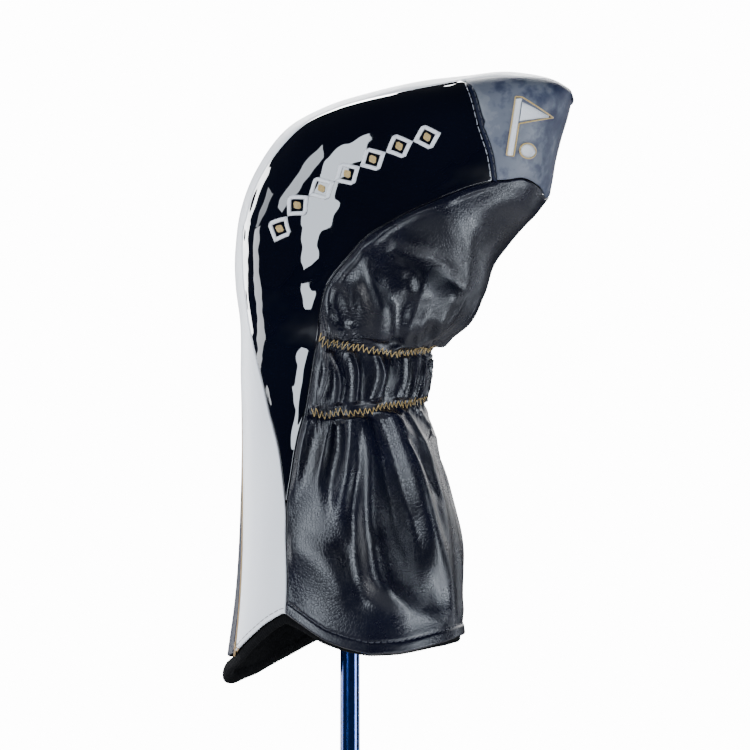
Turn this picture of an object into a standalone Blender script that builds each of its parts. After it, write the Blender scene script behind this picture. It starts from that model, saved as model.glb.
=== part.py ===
"""Fairway wood with its padded headcover: club and cover as separate pieces.

Frame: metres, +Z runs up the shaft from the butt end of the grip (origin) to
the head, +X points to the toe side, -Y is the face side. The club stands head
up. The cover slides off along +Z.
"""
import bpy
import bmesh
import math
from mathutils import Matrix, Vector

# ---------------------------------------------------------------- dimensions
MM = 0.001
SOLE_Z = 1.089            # where the shaft axis meets the sole plane
LIE = math.radians(58.0)  # shaft to sole plane
LOFT = math.radians(15.0)
GAP = 0.0003

GRIP_LENGTH = 0.265
GRIP_R_BUTT = 0.0133
GRIP_R_MOUTH = 0.0094
CAP_THICKNESS = 0.0030
VENT_R = 0.0015

SHAFT_TIP_Z = 1.0665
SHAFT_WALL = 0.0012
# (height, outer radius) down the shaft, butt to tip
SHAFT_PROFILE = [(0.0033, 0.00760), (0.15, 0.00725), (0.30, 0.00680),
                 (0.50, 0.00600), (0.70, 0.00520), (0.82, 0.00470),
                 (0.93, 0.00440), (0.99, 0.00425), (SHAFT_TIP_Z, 0.00425)]

HOSEL_TOP_Z = 1.0330      # end of the hosel nearest the grip
HOSEL_R = 0.0069
BORE_R = 0.00575
BORE_END_Z = 1.0755
LEDGE_END_Z = 1.0780
SCREW_SHANK_R = 0.0020
SCREW_HEAD_R = 0.0038

HEAD_CENTRE = (34.0, 20.0)     # along toe, towards back, mm from the shaft
HEAD_HALF_LENGTH = 53.0
HEAD_FRONT = 34.0
HEAD_BACK = 48.0
HEAD_CROWN = 39.0
FRAME_WALL = 0.0016
FACE_WALL = 0.0024
CROWN_WALL = 0.0012
SOLE_WALL = 0.0015
FACE_FROM, FACE_TO = 240.0, 330.0

COVER_Z = 1.092           # datum of the cover's outline stations
SPINE = -14.0             # degrees, the cover's spine sits just behind the side
OUTER = 0.0012            # thickness of the outer panels
MID_IN, MID_T = 0.0020, 0.0011    # foam, elastic and binding layer
LINE_IN, LINE_T = 0.0050, 0.0008  # lining layer

# Cover stations from hem to toe, mm: spine side x, z; crown side x, z; half
# depth; middle y; squareness of the section.
STATIONS = [
    (-60.6, -246.3, 57.3, -246.3, 47.0, 6.0, 2.1),
    (-56.9, -225.1, 54.5, -225.1, 46.5, 6.0, 2.1),
    (-54.0, -204.0, 52.2, -204.0, 46.0, 7.0, 2.1),
    (-52.2, -180.5, 50.3, -180.5, 45.0, 8.0, 2.1),
    (-51.2, -152.3, 45.1, -152.3, 43.0, 10.0, 2.1),
    (-50.8, -128.8, 39.0, -128.8, 40.0, 12.0, 2.2),
    (-50.8, -113.3, 35.2, -113.3, 38.0, 14.0, 2.2),
    (-51.2, -99.6, 38.1, -99.6, 38.5, 16.0, 2.2),
    (-51.2, -86.0, 39.5, -86.0, 39.5, 18.0, 2.2),
    (-51.7, -72.4, 55.0, -73.3, 46.0, 21.0, 2.3),
    (-53.6, -55.9, 63.4, -59.7, 50.0, 24.0, 2.5),
    (-54.0, -39.5, 68.1, -46.1, 52.5, 25.5, 2.5),
    (-51.7, -20.7, 74.7, -36.7, 53.0, 26.0, 2.5),
    (-44.2, -1.9, 82.7, -27.7, 53.0, 26.0, 2.5),
    (-30.5, 16.9, 89.8, -20.2, 53.0, 26.0, 2.5),
    (-11.8, 28.2, 94.0, -14.6, 53.0, 26.0, 2.5),
    (9.4, 34.8, 95.9, -7.0, 52.5, 26.0, 2.5),
    (30.5, 39.5, 97.3, 2.8, 52.0, 26.0, 2.5),
    (51.7, 42.3, 99.6, 13.2, 50.0, 26.0, 2.5),
    (72.8, 44.2, 102.5, 23.0, 46.0, 25.5, 2.5),
    (91.6, 41.8, 104.3, 30.1, 38.0, 25.0, 2.5),
    (102.0, 36.7, 104.8, 32.9, 30.0, 24.0, 2.5),
    (104.2, 35.2, 105.0, 34.0, 26.0, 24.0, 2.5),
]
LAST = len(STATIONS) - 1

# Seams on the face side, x and z in mm.
SEAM_GUSSET = [(-30.5, -260.0), (-30.1, -222.8), (-29.6, -208.7), (-29.1, -199.0),
               (-29.1, -187.0), (-29.6, -172.5), (-29.6, -161.0), (-31.0, -147.0),
               (-33.0, -132.5), (-36.0, -121.0), (-37.6, -115.5), (-40.9, -101.5),
               (-44.6, -87.0), (-47.5, -73.0), (-49.3, -59.0), (-50.3, -47.0),
               (-50.3, -30.0), (-48.9, -26.0), (-45.6, -13.5), (-40.0, -2.0),
               (-32.0, 9.0), (-21.0, 19.3), (-10.3, 25.0), (2.3, 29.1),
               (21.0, 33.4), (37.6, 36.7), (53.6, 39.5), (65.3, 40.9),
               (80.0, 40.4), (93.0, 39.5), (98.7, 38.1), (102.9, 35.2),
               (105.8, 33.4)]
SEAM_GLOSS = [(-28.9, -158.4), (-28.2, -152.8), (-26.8, -144.3), (-25.4, -135.4),
              (-23.5, -126.0), (-20.7, -115.6), (-18.3, -101.5), (-16.4, -89.8),
              (-14.5, -80.0), (-13.6, -69.0), (-11.3, -59.0), (-7.5, -52.2),
              (-0.5, -43.7), (6.1, -36.2), (16.0, -29.1), (29.1, -22.1),
              (42.3, -16.4), (55.5, -11.3), (66.3, -8.5)]
SEAM_TOE = [(66.3, -8.5), (64.4, 3.8), (60.2, 16.9), (56.9, 30.1), (53.6, 39.5)]
SEAM_CROWN = [(66.3, -8.5), (73.3, -8.0), (80.0, -7.5), (85.1, -9.0), (89.3, -12.0)]
# Height of the hem against the angle round the cover.
HEM = [(-180, -219.5), (-150, -221.8), (-125, -222.8), (-95, -218.1),
       (-80, -220.9), (-60, -230.8), (-39, -239.2), (-20, -242.0), (-8, -241.1),
       (0, -237.8), (10, -234.1), (22, -227.9), (36, -219.0), (47, -212.4),
       (57, -207.7), (68, -213.4), (80, -220.9), (90, -224.7), (100, -227.0),
       (115, -226.1), (137, -222.8), (160, -220.4), (180, -219.5)]
# Near edge of the spine stripe, degrees, against station.
STRIPE = [(0, 23.0), (1, 21.0), (2, 18.5), (3, 16.0), (4, 12.0), (5, 7.5),
          (6, 3.0), (7, -1.0), (8, -4.0), (10, -5.0), (14, -5.0), (16, -3.0),
          (18, -1.0), (22, -1.0)]
STRIPE_END = 17.9

# ------------------------------------------------------------------- set-up
for old in list(bpy.data.objects):
    bpy.data.objects.remove(old, do_unlink=True)


def collection(name):
    c = bpy.data.collections.get(name) or bpy.data.collections.new(name)
    if name not in bpy.context.scene.collection.children:
        bpy.context.scene.collection.children.link(c)
    return c


PARTS = collection("fairway_wood")
CUTTERS = collection("cutters")


def material(name, colour, roughness, metallic=0.0):
    m = bpy.data.materials.new(name)
    m.use_nodes = True
    b = m.node_tree.nodes["Principled BSDF"]
    b.inputs["Base Color"].default_value = (*colour, 1.0)
    b.inputs["Roughness"].default_value = roughness
    b.inputs["Metallic"].default_value = metallic
    m.diffuse_color = (*colour, 1.0)
    return m


def add_empty(name, at, parent=None):
    e = bpy.data.objects.new(name, None)
    PARTS.objects.link(e)
    e.location = at
    if parent:
        e.parent = parent
    return e


CLUB = add_empty("club_axis", (0, 0, 0))
COVER = add_empty("cover_pull_axis", (0, 0, COVER_Z))


def finish(obj, parent, mat=None, smooth=True):
    """Bakes the world placement into the mesh's parent frame and shades it."""
    if mat:
        obj.data.materials.clear()
        obj.data.materials.append(mat)
    if smooth:
        obj.data.shade_smooth()
        obj.data.set_sharp_from_angle(angle=math.radians(35))
    if parent:
        obj.parent = parent
        obj.matrix_parent_inverse = parent.matrix_basis.inverted()
    return obj


def new_object(name, mesh, where=PARTS):
    o = bpy.data.objects.new(name, mesh)
    where.objects.link(o)
    return o


def turned(name, profile, steps, parent, mat, where=PARTS):
    """A closed profile of (radius, height) turned about Z. A profile that
    touches the axis gives a solid piece."""
    mesh = bpy.data.meshes.new(name)
    pts = [(r, 0.0, z) for r, z in profile]
    solid = profile[0][0] == 0.0
    edges = [(i, i + 1) for i in range(len(pts) - 1)]
    if not solid:
        edges.append((len(pts) - 1, 0))
    mesh.from_pydata(pts, edges, [])
    o = new_object(name, mesh, where)
    s = o.modifiers.new("turn", "SCREW")
    s.angle = 2 * math.pi
    s.steps = steps
    s.render_steps = steps
    s.screw_offset = 0.0
    s.use_merge_vertices = True
    s.merge_threshold = 0.00002
    return finish(o, parent, mat)


def smooth_line(values, s):
    """Catmull-Rom through evenly spaced rows of numbers."""
    s = min(max(s, 0.0), len(values) - 1.0)
    i = min(int(s), len(values) - 2)
    t = s - i
    p1, p2 = values[i], values[i + 1]
    p0 = values[i - 1] if i > 0 else tuple(2 * a - b for a, b in zip(p1, p2))
    p3 = values[i + 2] if i + 2 < len(values) else tuple(2 * a - b for a, b in zip(p2, p1))
    return [0.5 * (2 * b + (c - a) * t + (2 * a - 5 * b + 4 * c - d) * t * t
                   + (3 * b - a - 3 * c + d) * t ** 3)
            for a, b, c, d in zip(p0, p1, p2, p3)]


def along(table, x):
    """Straight-line reading of a table of (x, value)."""
    if x <= table[0][0]:
        return table[0][1]
    for (a, p), (b, q) in zip(table, table[1:]):
        if x <= b:
            return p + (q - p) * (x - a) / (b - a)
    return table[-1][1]


def power(c, e):
    return math.copysign(abs(c) ** e, c)


# ------------------------------------------------------------- cover surface
def cover_base(s, theta):
    lx, lz, rx, rz, depth, mid, n = smooth_line(STATIONS, s)
    c, q = math.cos(math.radians(theta)), math.sin(math.radians(theta))
    k = 0.5 * (1 - power(c, 2 / n))
    return Vector(((lx + (rx - lx) * k) * MM,
                   (mid - depth * power(q, 2 / n)) * MM,
                   COVER_Z + (lz + (rz - lz) * k) * MM))


def cover_axis(s):
    lx, lz, rx, rz, depth, mid, n = smooth_line(STATIONS, s)
    return Vector(((lx + rx) / 2 * MM, mid * MM, COVER_Z + (lz + rz) / 2 * MM))


def cover_point(s, theta, inward):
    """A point of the cover, a depth in from its outer surface."""
    e = 0.12
    a = cover_base(min(s + e, LAST), theta) - cover_base(max(s - e, 0), theta)
    b = cover_base(s, theta + 4) - cover_base(s, theta - 4)
    n = a.cross(b).normalized()
    p = cover_base(s, theta)
    if n.dot(p - cover_axis(s)) < 0:
        n = -n
    return p - n * inward


def seam_angle(s, seam):
    """The angle at which a station's line crosses a seam on the face side."""
    lx, lz, rx, rz, depth, mid, n = smooth_line(STATIONS, s)
    dx, dz = rx - lx, rz - lz
    best = None
    for (ax, az), (bx, bz) in zip(seam, seam[1:]):
        ex, ez = bx - ax, bz - az
        det = dx * -ez + ex * dz
        if abs(det) < 1e-9:
            continue
        wx, wz = ax - lx, az - lz
        t = (wx * -ez + ex * wz) / det
        u = (dx * wz - dz * wx) / det
        miss = max(0.0, -u, u - 1.0)
        if best is None or miss < best[0] - 1e-9:
            best = (miss, t)
    t = min(max(best[1], 0.0), 1.0)
    return math.degrees(math.acos(max(-1, min(1, power(1 - 2 * t, n / 2)))))


def station_of(x, z, low=8.0, high=float(LAST)):
    """The station whose line passes through a point of the side view."""
    def side(s):
        lx, lz, rx, rz = smooth_line(STATIONS, s)[:4]
        return (rx - lx) * (z - lz) - (rz - lz) * (x - lx)
    for _ in range(40):
        m = (low + high) / 2
        if side(m) > 0:
            low = m
        else:
            high = m
    return (low + high) / 2


def hem_station(theta):
    z = along(HEM, (theta + 180) % 360 - 180)
    low, high = 0.0, 4.0
    for _ in range(30):
        m = (low + high) / 2
        if smooth_line(STATIONS, m)[1] < z:
            low = m
        else:
            high = m
    return low


def other_side(theta):
    return 2 * SPINE - theta


def hem_bend(s, theta):
    """How far a row near the hem is moved up, to follow the hem's curve."""
    v = (s - HEM_S) / (4.3 - HEM_S)
    return (hem_station(theta) - HEM_S) * max(0.0, 1 - v) ** 1.6


def settle(line, s, bend):
    """The angle of a line where the bent row of a station crosses it."""
    th = line(s)
    for _ in range(6):
        th = line(s + bend(s, th))
    return th


HEM_S = 0.8                                    # a mean station for the hem
TIP_S = 3.85                                   # where the gloss panel starts
CORNER_S = station_of(*SEAM_GLOSS[-1])         # gloss, toe and crown panels meet
TOP_S = station_of(*SEAM_TOE[-1])
CROWN_SEAM = []
for px, pz in SEAM_CROWN:
    s_at = station_of(px, pz)
    CROWN_SEAM.append((seam_angle(s_at, [(px - 1, pz - 8), (px + 1, pz + 8)]), s_at))
CROWN_SEAM.append((180.0 + SPINE, CROWN_SEAM[-1][1]))


def crown_station(theta):
    """Station of the seam between crown panel and toe panel."""
    mid = 180 + SPINE
    t = theta if theta <= mid else 2 * mid - theta
    return along(CROWN_SEAM, t)


def edge(line, s, mm):
    """The angle of a seam at a station, moved sideways by some mm."""
    th = line(s)
    r = (cover_base(s, th + 1) - cover_base(s, th - 1)) / 2
    lo, hi = max(s - 0.15, 0), min(s + 0.15, LAST)
    t = cover_base(hi, line(hi)) - cover_base(lo, line(lo))
    slant = t.cross(r).length / max(t.length * r.length, 1e-12)
    return th + mm * MM / (max(r.length, 5e-5) * max(slant, 0.35))


def sheet(name, rows, thickness, parent, mat, ring=False, cap=False, centre=None):
    """An open surface from rows of points, made solid inward."""
    bm = bmesh.new()
    grid = [[bm.verts.new(p) for p in row] for row in rows]
    m = len(grid[0])
    for a, b in zip(grid, grid[1:]):
        for j in range(m if ring else m - 1):
            k = (j + 1) % m
            bm.faces.new((a[j], a[k], b[k], b[j]))
    if cap:
        top = bm.verts.new(sum((Vector(v.co) for v in grid[-1]), Vector()) / m)
        for j in range(m):
            bm.faces.new((grid[-1][j], grid[-1][(j + 1) % m], top))
    bm.normal_update()
    total = 0.0
    for f in bm.faces:
        c = f.calc_center_median()
        total += f.normal.dot(c - centre(c)) * f.calc_area()
    if total < 0:
        bmesh.ops.reverse_faces(bm, faces=bm.faces)
    mesh = bpy.data.meshes.new(name)
    bm.to_mesh(mesh)
    bm.free()
    o = new_object(name, mesh)
    w = o.modifiers.new("wall", "SOLIDIFY")
    w.thickness = thickness
    w.offset = -1.0
    w.use_even_offset = False
    return finish(o, parent, mat)


AXIS_POINTS = [cover_axis(i * 0.5) for i in range(2 * LAST + 1)]


def nearest_axis(c):
    return min(AXIS_POINTS, key=lambda a: (a - c).length)


def flat(s, theta):
    return 0.0


def cover_panel(name, rows, lo, hi, m, mat, inward=0.0, thick=OUTER, bend=flat):
    """A panel along rows of stations, between two edges given as angles."""
    out = []
    for s in rows:
        a, b = settle(lo, s, bend), settle(hi, s, bend)
        row = []
        for j in range(m):
            th = a + (b - a) * j / (m - 1)
            row.append(cover_point(s + bend(s, th), th, inward))
        out.append(row)
    return sheet(name, out, thick, COVER, mat, centre=nearest_axis)


# ---------------------------------------------------------------- materials
M_GRIP = material("grip_rubber", (0.02, 0.02, 0.022), 0.75)
M_SHAFT = material("shaft_blue", (0.01, 0.03, 0.12), 0.2, 0.6)
M_FERRULE = material("ferrule_black", (0.01, 0.01, 0.012), 0.3)
M_ALLOY = material("adapter_alloy", (0.35, 0.36, 0.38), 0.35, 1.0)
M_STEEL = material("head_steel", (0.45, 0.45, 0.47), 0.3, 1.0)
M_FACE = material("face_steel", (0.30, 0.30, 0.32), 0.4, 1.0)
M_CARBON = material("crown_carbon", (0.01, 0.013, 0.03), 0.15)
M_WEIGHT = material("weight_tungsten", (0.25, 0.25, 0.26), 0.35, 1.0)
M_GLOSS = material("gloss_navy", (0.003, 0.005, 0.015), 0.06)
M_TOE = material("toe_print", (0.11, 0.13, 0.17), 0.5)
M_WHITE = material("white_leather", (0.84, 0.84, 0.88), 0.55)
M_NAVY = material("navy_stripe", (0.008, 0.012, 0.04), 0.5)
M_GOLD = material("gold_piping", (0.55, 0.34, 0.12), 0.5)
M_LEATHER = material("navy_leather", (0.014, 0.016, 0.028), 0.45)
M_ELASTIC = material("elastic_webbing", (0.02, 0.02, 0.02), 0.8)
M_LINING = material("black_fleece", (0.006, 0.006, 0.007), 0.95)
M_FOAM = material("foam", (0.10, 0.10, 0.10), 0.95)

# --------------------------------------------------------------------- club
def shaft_radius(z):
    return along(SHAFT_PROFILE, z)


outer = [(r, z) for z, r in SHAFT_PROFILE]
inner = [(r - SHAFT_WALL, z) for z, r in reversed(SHAFT_PROFILE)]
turned("shaft", list(reversed(outer)) + list(reversed(inner)), 16, CLUB, M_SHAFT)

grip_rows = [(CAP_THICKNESS + GAP, GRIP_R_BUTT), (0.02, 0.0131), (0.08, 0.0122),
             (0.16, 0.0110), (0.24, 0.0099), (GRIP_LENGTH - 0.001, GRIP_R_MOUTH),
             (GRIP_LENGTH, GRIP_R_MOUTH - 0.0008)]
bore_rows = [(CAP_THICKNESS + GAP, 0), (0.08, 0), (0.16, 0), (GRIP_LENGTH, 0)]
turned("grip_sleeve",
       [(r, z) for z, r in reversed(grip_rows)]
       + [(shaft_radius(z) + 0.0012, z) for z, _ in bore_rows],
       24, CLUB, M_GRIP)
turned("grip_cap",
       [(GRIP_R_BUTT - 0.0001, CAP_THICKNESS), (GRIP_R_BUTT, CAP_THICKNESS - 0.0008),
        (GRIP_R_BUTT - 0.0009, 0.0003), (GRIP_R_BUTT - 0.0016, 0.0),
        (VENT_R, 0.0), (VENT_R, CAP_THICKNESS)], 24, CLUB, M_GRIP)
turned("grip_tape",
       [(shaft_radius(z) + 0.0008, z) for z in (0.262, 0.16, 0.08, 0.005)]
       + [(shaft_radius(z) + 0.0004, z) for z in (0.005, 0.08, 0.16, 0.262)],
       20, CLUB, material("tape", (0.5, 0.45, 0.35), 0.8))

turned("ferrule",
       [(0.0065, 1.0240), (0.0065, 1.0222), (0.0061, 1.0216), (0.0061, 1.0210),
        (0.0063, 1.0204), (0.0056, 1.0130), (0.0050, 1.0070),
        (0.00455, 1.0070), (0.00455, 1.0240)], 24, CLUB, M_FERRULE)
turned("hosel_adapter",
       [(0.00225, 1.0735), (0.00545, 1.0735), (0.00545, 1.0288), (HOSEL_R, 1.0287),
        (HOSEL_R, 1.0250), (0.0066, 1.0244), (0.00455, 1.0244), (0.00455, 1.0670),
        (0.00225, 1.0670)], 24, CLUB, M_ALLOY)
turned("hosel_cog",
       [(HOSEL_R, 1.0327), (HOSEL_R, 1.0291), (0.00580, 1.0291), (0.00580, 1.0327)],
       24, CLUB, M_ALLOY)
turned("screw_washer",
       [(0.0037, 1.0791), (0.0037, 1.0783), (0.0024, 1.0783), (0.0024, 1.0791)],
       20, CLUB, M_STEEL)
turned("hosel_screw",
       [(0.0, 1.0829), (0.0016, 1.0829), (0.0018, 1.0841), (0.0034, 1.0841),
        (SCREW_HEAD_R, 1.0836), (SCREW_HEAD_R, 1.0794), (SCREW_SHANK_R, 1.0794),
        (SCREW_SHANK_R, 1.0675), (0.0, 1.0675)], 20, CLUB, M_STEEL)

# --------------------------------------------------------------------- head
TOE_AXIS = Vector((math.sin(LIE), 0, math.cos(LIE)))
BACK_AXIS = Vector((0, 1, 0))
CROWN_AXIS = Vector((math.cos(LIE), 0, -math.sin(LIE)))
SOLE_POINT = Vector((0, 0, SOLE_Z))


def head_edge(phi):
    c, q = math.cos(math.radians(phi)), math.sin(math.radians(phi))
    n, b = (2.2, HEAD_BACK) if q > 0 else (3.0, HEAD_FRONT)
    return (HEAD_HALF_LENGTH * power(c, 2 / n), b * power(q, 2 / n))


def crown_edge_height(phi):
    q = math.sin(math.radians(phi))
    return 23 + 9.5 * max(0, -q) ** 1.5 - 8 * max(0, q) ** 1.5


def sole_edge_height(phi):
    c, q = math.cos(math.radians(phi)), math.sin(math.radians(phi))
    return 3.5 + 4 * max(0, q) + 4.5 * max(0, c) ** 2 + 2.5 * max(0, -c) ** 2


def head_at(phi, r, h, lean=1.0):
    """A head point: angle round the outline, share of the way out, height."""
    u, v = head_edge(phi)
    q = max(0.0, -math.sin(math.radians(phi)))
    v_lean = (h - 17.0) * math.tan(LOFT) * q ** 0.7 * lean * r ** 3
    p = Vector((HEAD_CENTRE[0] + u * r, HEAD_CENTRE[1] + v * r + v_lean, h)) * MM
    return SOLE_POINT + TOE_AXIS * p.x + BACK_AXIS * p.y + CROWN_AXIS * p.z


def crown_at(phi, r):
    e = crown_edge_height(phi)
    return head_at(phi, r, e + (HEAD_CROWN - e) * (1 - r ** 2.4))


def sole_at(phi, r):
    return head_at(phi, r, sole_edge_height(phi) * r ** 2.4)


def side_at(phi, t):
    """The side wall, from the crown edge (0) to the sole edge (1)."""
    a, b = crown_edge_height(phi), sole_edge_height(phi)
    bulge = 1 + 0.035 * math.sin(math.pi * t)
    return head_at(phi, bulge, a + (b - a) * t)


def opening(phi):
    """How far out the crown panel reaches; it stops short of the hosel."""
    d = (phi - 203 + 180) % 360 - 180
    return 0.87 - 0.40 * math.exp(-(d / 26.0) ** 2)


HEAD_MIDDLE = SOLE_POINT + TOE_AXIS * 0.034 + BACK_AXIS * 0.020 + CROWN_AXIS * 0.019
N_HEAD = 48


def head_middle(c):
    return HEAD_MIDDLE


# The frame: crown ring, side wall and sole ring, without the face.
bm = bmesh.new()
cols = []
for i in range(N_HEAD):
    phi = i * 360.0 / N_HEAD
    o = opening(phi)
    pts = [crown_at(phi, o), crown_at(phi, (1 + o) / 2), crown_at(phi, 1.0),
           side_at(phi, 0.5), sole_at(phi, 1.0), sole_at(phi, 0.84),
           sole_at(phi, 0.62)]
    cols.append([bm.verts.new(p) for p in pts])
for i in range(N_HEAD):
    a, b = cols[i], cols[(i + 1) % N_HEAD]
    phi = i * 360.0 / N_HEAD
    in_face = FACE_FROM - 0.1 <= phi < FACE_TO - 0.1
    for k in range(6):
        if in_face and k < 5:
            continue
        bm.faces.new((a[k], b[k], b[k + 1], a[k + 1]))
bmesh.ops.delete(bm, geom=[v for v in bm.verts if not v.link_faces], context="VERTS")
bm.normal_update()
if sum(f.normal.dot(f.calc_center_median() - HEAD_MIDDLE) for f in bm.faces) < 0:
    bmesh.ops.reverse_faces(bm, faces=bm.faces)
mesh = bpy.data.meshes.new("head_frame")
bm.to_mesh(mesh)
bm.free()
frame = new_object("head_frame", mesh)
w = frame.modifiers.new("wall", "SOLIDIFY")
w.thickness = FRAME_WALL
w.offset = -1.0


def cutter(obj):
    obj.hide_render = True
    obj.display_type = "WIRE"
    for c in list(obj.users_collection):
        c.objects.unlink(obj)
    CUTTERS.objects.link(obj)
    return obj


def boolean(target, tool, operation):
    b = target.modifiers.new(tool.name, "BOOLEAN")
    b.object = tool
    b.operation = operation
    b.solver = "EXACT"


bpy.ops.mesh.primitive_cylinder_add(vertices=24, radius=HOSEL_R, depth=0.05,
                                    location=(0, 0, HOSEL_TOP_Z + 0.025))
hosel = bpy.context.object
hosel.name = "hosel_tube"
for v in hosel.data.vertices:
    if v.co.z > 0:
        v.co.z = (SOLE_Z - 0.0036 + v.co.x * math.tan(math.pi / 2 - LIE)) - (HOSEL_TOP_Z + 0.025)
cutter(hosel)
boolean(frame, hosel, "UNION")
bore = turned("hosel_bore",
              [(0.0, 1.1000), (0.0043, 1.1000), (0.0043, LEDGE_END_Z),
               (0.0026, LEDGE_END_Z), (0.0026, BORE_END_Z), (BORE_R, BORE_END_Z),
               (BORE_R, HOSEL_TOP_Z - 0.01), (0.0, HOSEL_TOP_Z - 0.01)],
              24, None, None)
cutter(bore)
boolean(frame, bore, "DIFFERENCE")

WEIGHT_R = 0.0062
weight_at = sole_at(90, 0.81)
weight_turn = CROWN_AXIS.to_track_quat("Z", "Y").to_matrix().to_4x4()
bpy.ops.mesh.primitive_cylinder_add(vertices=24, radius=WEIGHT_R + GAP, depth=0.012)
hole = bpy.context.object
hole.name = "weight_hole"
hole.matrix_world = Matrix.Translation(weight_at) @ weight_turn
cutter(hole)
boolean(frame, hole, "DIFFERENCE")
finish(frame, CLUB, M_STEEL)

rw = turned("rear_weight",
            [(0.0, 0.0040), (0.0050, 0.0040), (WEIGHT_R, 0.0034),
             (WEIGHT_R, -0.0006), (0.0056, -0.0012), (0.0020, -0.0012),
             (0.0020, 0.0002), (0.0, 0.0002)], 24, None, M_WEIGHT)
rw.matrix_world = Matrix.Translation(weight_at) @ weight_turn
finish(rw, CLUB)

SLIT = 1.3
face_cols = 15
rows = []
face_kinds = [("c", 0.89), ("c", 0.95), ("c", 1.0), ("s", 0.25), ("s", 0.5),
              ("s", 0.75), ("b", 1.0), ("b", 0.94), ("b", 0.875)]
for kind, r in face_kinds:
    row = []
    for j in range(face_cols):
        phi = FACE_FROM + SLIT + (FACE_TO - FACE_FROM - 2 * SLIT) * j / (face_cols - 1)
        row.append({"c": crown_at, "s": side_at, "b": sole_at}[kind](phi, r))
    rows.append(row)
sheet("face_cup", rows, FACE_WALL, CLUB, M_FACE, centre=head_middle)

# Crown panel: rings out to the opening, closed in the middle.
rings = []
for share in (0.985, 0.8, 0.55, 0.28):
    rings.append([crown_at(i * 10.0, (opening(i * 10.0) - 0.008) * share)
                  for i in range(36)])
sheet("crown_panel", rings, CROWN_WALL, CLUB, M_CARBON, ring=True, cap=True,
      centre=head_middle)
rings = []
for r in (0.607, 0.42, 0.22):
    rings.append([sole_at(i * 10.0, r) for i in range(36)])
sheet("sole_plate", rings, SOLE_WALL, CLUB, M_CARBON, ring=True, cap=True,
      centre=head_middle)


def sole_height(u, v):
    """Sole height in mm over a point of the sole plane near the front."""
    r = (abs((u - HEAD_CENTRE[0]) / HEAD_HALF_LENGTH) ** 3.0
         + abs((v - HEAD_CENTRE[1]) / HEAD_FRONT) ** 3.0) ** (1 / 3.0)
    return 4.5 * r ** 2.4


rows = []
for iv in range(4):
    row = []
    for iu in range(8):
        u, v = 14 + iu * 6.5, -5 + iv * 4.0
        p = Vector((u, v, sole_height(u, v) + 2.6 + 5.0)) * MM
        row.append(SOLE_POINT + TOE_AXIS * p.x + BACK_AXIS * p.y + CROWN_AXIS * p.z)
    rows.append(row)
sheet("inner_weight", rows, 0.0050, CLUB, M_WEIGHT,
      centre=lambda c: c - CROWN_AXIS)

# -------------------------------------------------------------------- cover
ROWS = [HEM_S, 1.4, 2.1, 2.9, 3.7, 4.35, 5.0, 5.7, 6.3, 7.0, 7.7, 8.3, 9.0, 9.7,
        10.5, 11.3, 12.1, 12.9, 13.6, CORNER_S, 15.0, 15.8, 16.6, 17.4, TOP_S,
        18.8, 19.5, 20.2, 20.9, 21.5]
E = 0.45        # mm, half the gap between two panels
WELT = 1.45     # mm, half the gap that a welt lies in
CORD = 1.20     # mm, half the gap that a piping cord lies in


def between(low, high, *ends):
    return sorted([s for s in ROWS if low - 1e-6 <= s <= high + 1e-6] + list(ends))


def gus(s):
    return seam_angle(s, SEAM_GUSSET)


def pipe(s):
    return along(STRIPE, s)


def gloss_seam(s):
    return seam_angle(s, SEAM_GLOSS)


def toe_seam(s):
    return seam_angle(s, SEAM_TOE)


def spine(s):
    return SPINE


def along_seam(line, s, mm, side):
    """A seam's angle on one side, moved mm away from the spine."""
    if side > 0:
        return edge(line, s, mm)
    return edge(lambda q: other_side(line(q)), s, -mm)


def pair(name, rows, lo, hi, m, mat, **more):
    """A panel on the face side and its twin on the other side."""
    cover_panel(name + "_front", rows, lambda s: lo(s, 1), lambda s: hi(s, 1), m, mat,
                **more)
    cover_panel(name + "_back", rows, lambda s: hi(s, -1), lambda s: lo(s, -1), m, mat,
                **more)


def gloss_hi(s, side):
    if s <= CORNER_S + 1e-6:
        return along_seam(gloss_seam, s, -WELT, side)
    return along_seam(toe_seam, s, -E - 0.2, side)


pair("gloss_panel", between(4.35, CORNER_S - 0.2, CORNER_S - 0.12)
     + between(CORNER_S + 0.2, TOP_S - 0.3, CORNER_S + 0.3, TOP_S - 0.45),
     lambda s, side: along_seam(gus, s, E, side), gloss_hi, 7, M_GLOSS)


def toe_lo(s, side):
    if s < TOP_S - 1e-6:
        return along_seam(toe_seam, s, E + 0.2, side)
    return along_seam(gus, s, E if s < 19.8 else 2 * E, side)


def toe_bend(s, th):
    return ((crown_station(th) + 0.05 - TOE_FIRST)
            * max(0.0, 1 - (s - TOE_FIRST) / 2.2) ** 2)


TOE_FIRST = CORNER_S + 0.08
cover_panel("toe_panel", between(CORNER_S + 0.2, 20.9, TOE_FIRST, 21.3),
            lambda s: toe_lo(s, 1), lambda s: 360 + toe_lo(s, -1), 21, M_TOE,
            bend=toe_bend)


def gusset_lo(s, side):
    if s < STRIPE_END + 0.05:
        return along_seam(pipe, s, CORD, side)
    return along_seam(spine, s, 0.35, side)


gusset_rows = between(HEM_S, 17.5, STRIPE_END) + between(TOP_S, 20.2, 20.55)
pair("gusset", gusset_rows, gusset_lo,
     lambda s, side: along_seam(gus, s, -E if s < 19.8 else -2 * E, side), 4, M_WHITE,
     bend=hem_bend)
stripe_rows = between(HEM_S, 17.5, STRIPE_END - 0.1)
cover_panel("spine_stripe", stripe_rows, lambda s: along_seam(pipe, s, -CORD, -1),
            lambda s: along_seam(pipe, s, -CORD, 1), 6, M_NAVY, bend=hem_bend)


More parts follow.
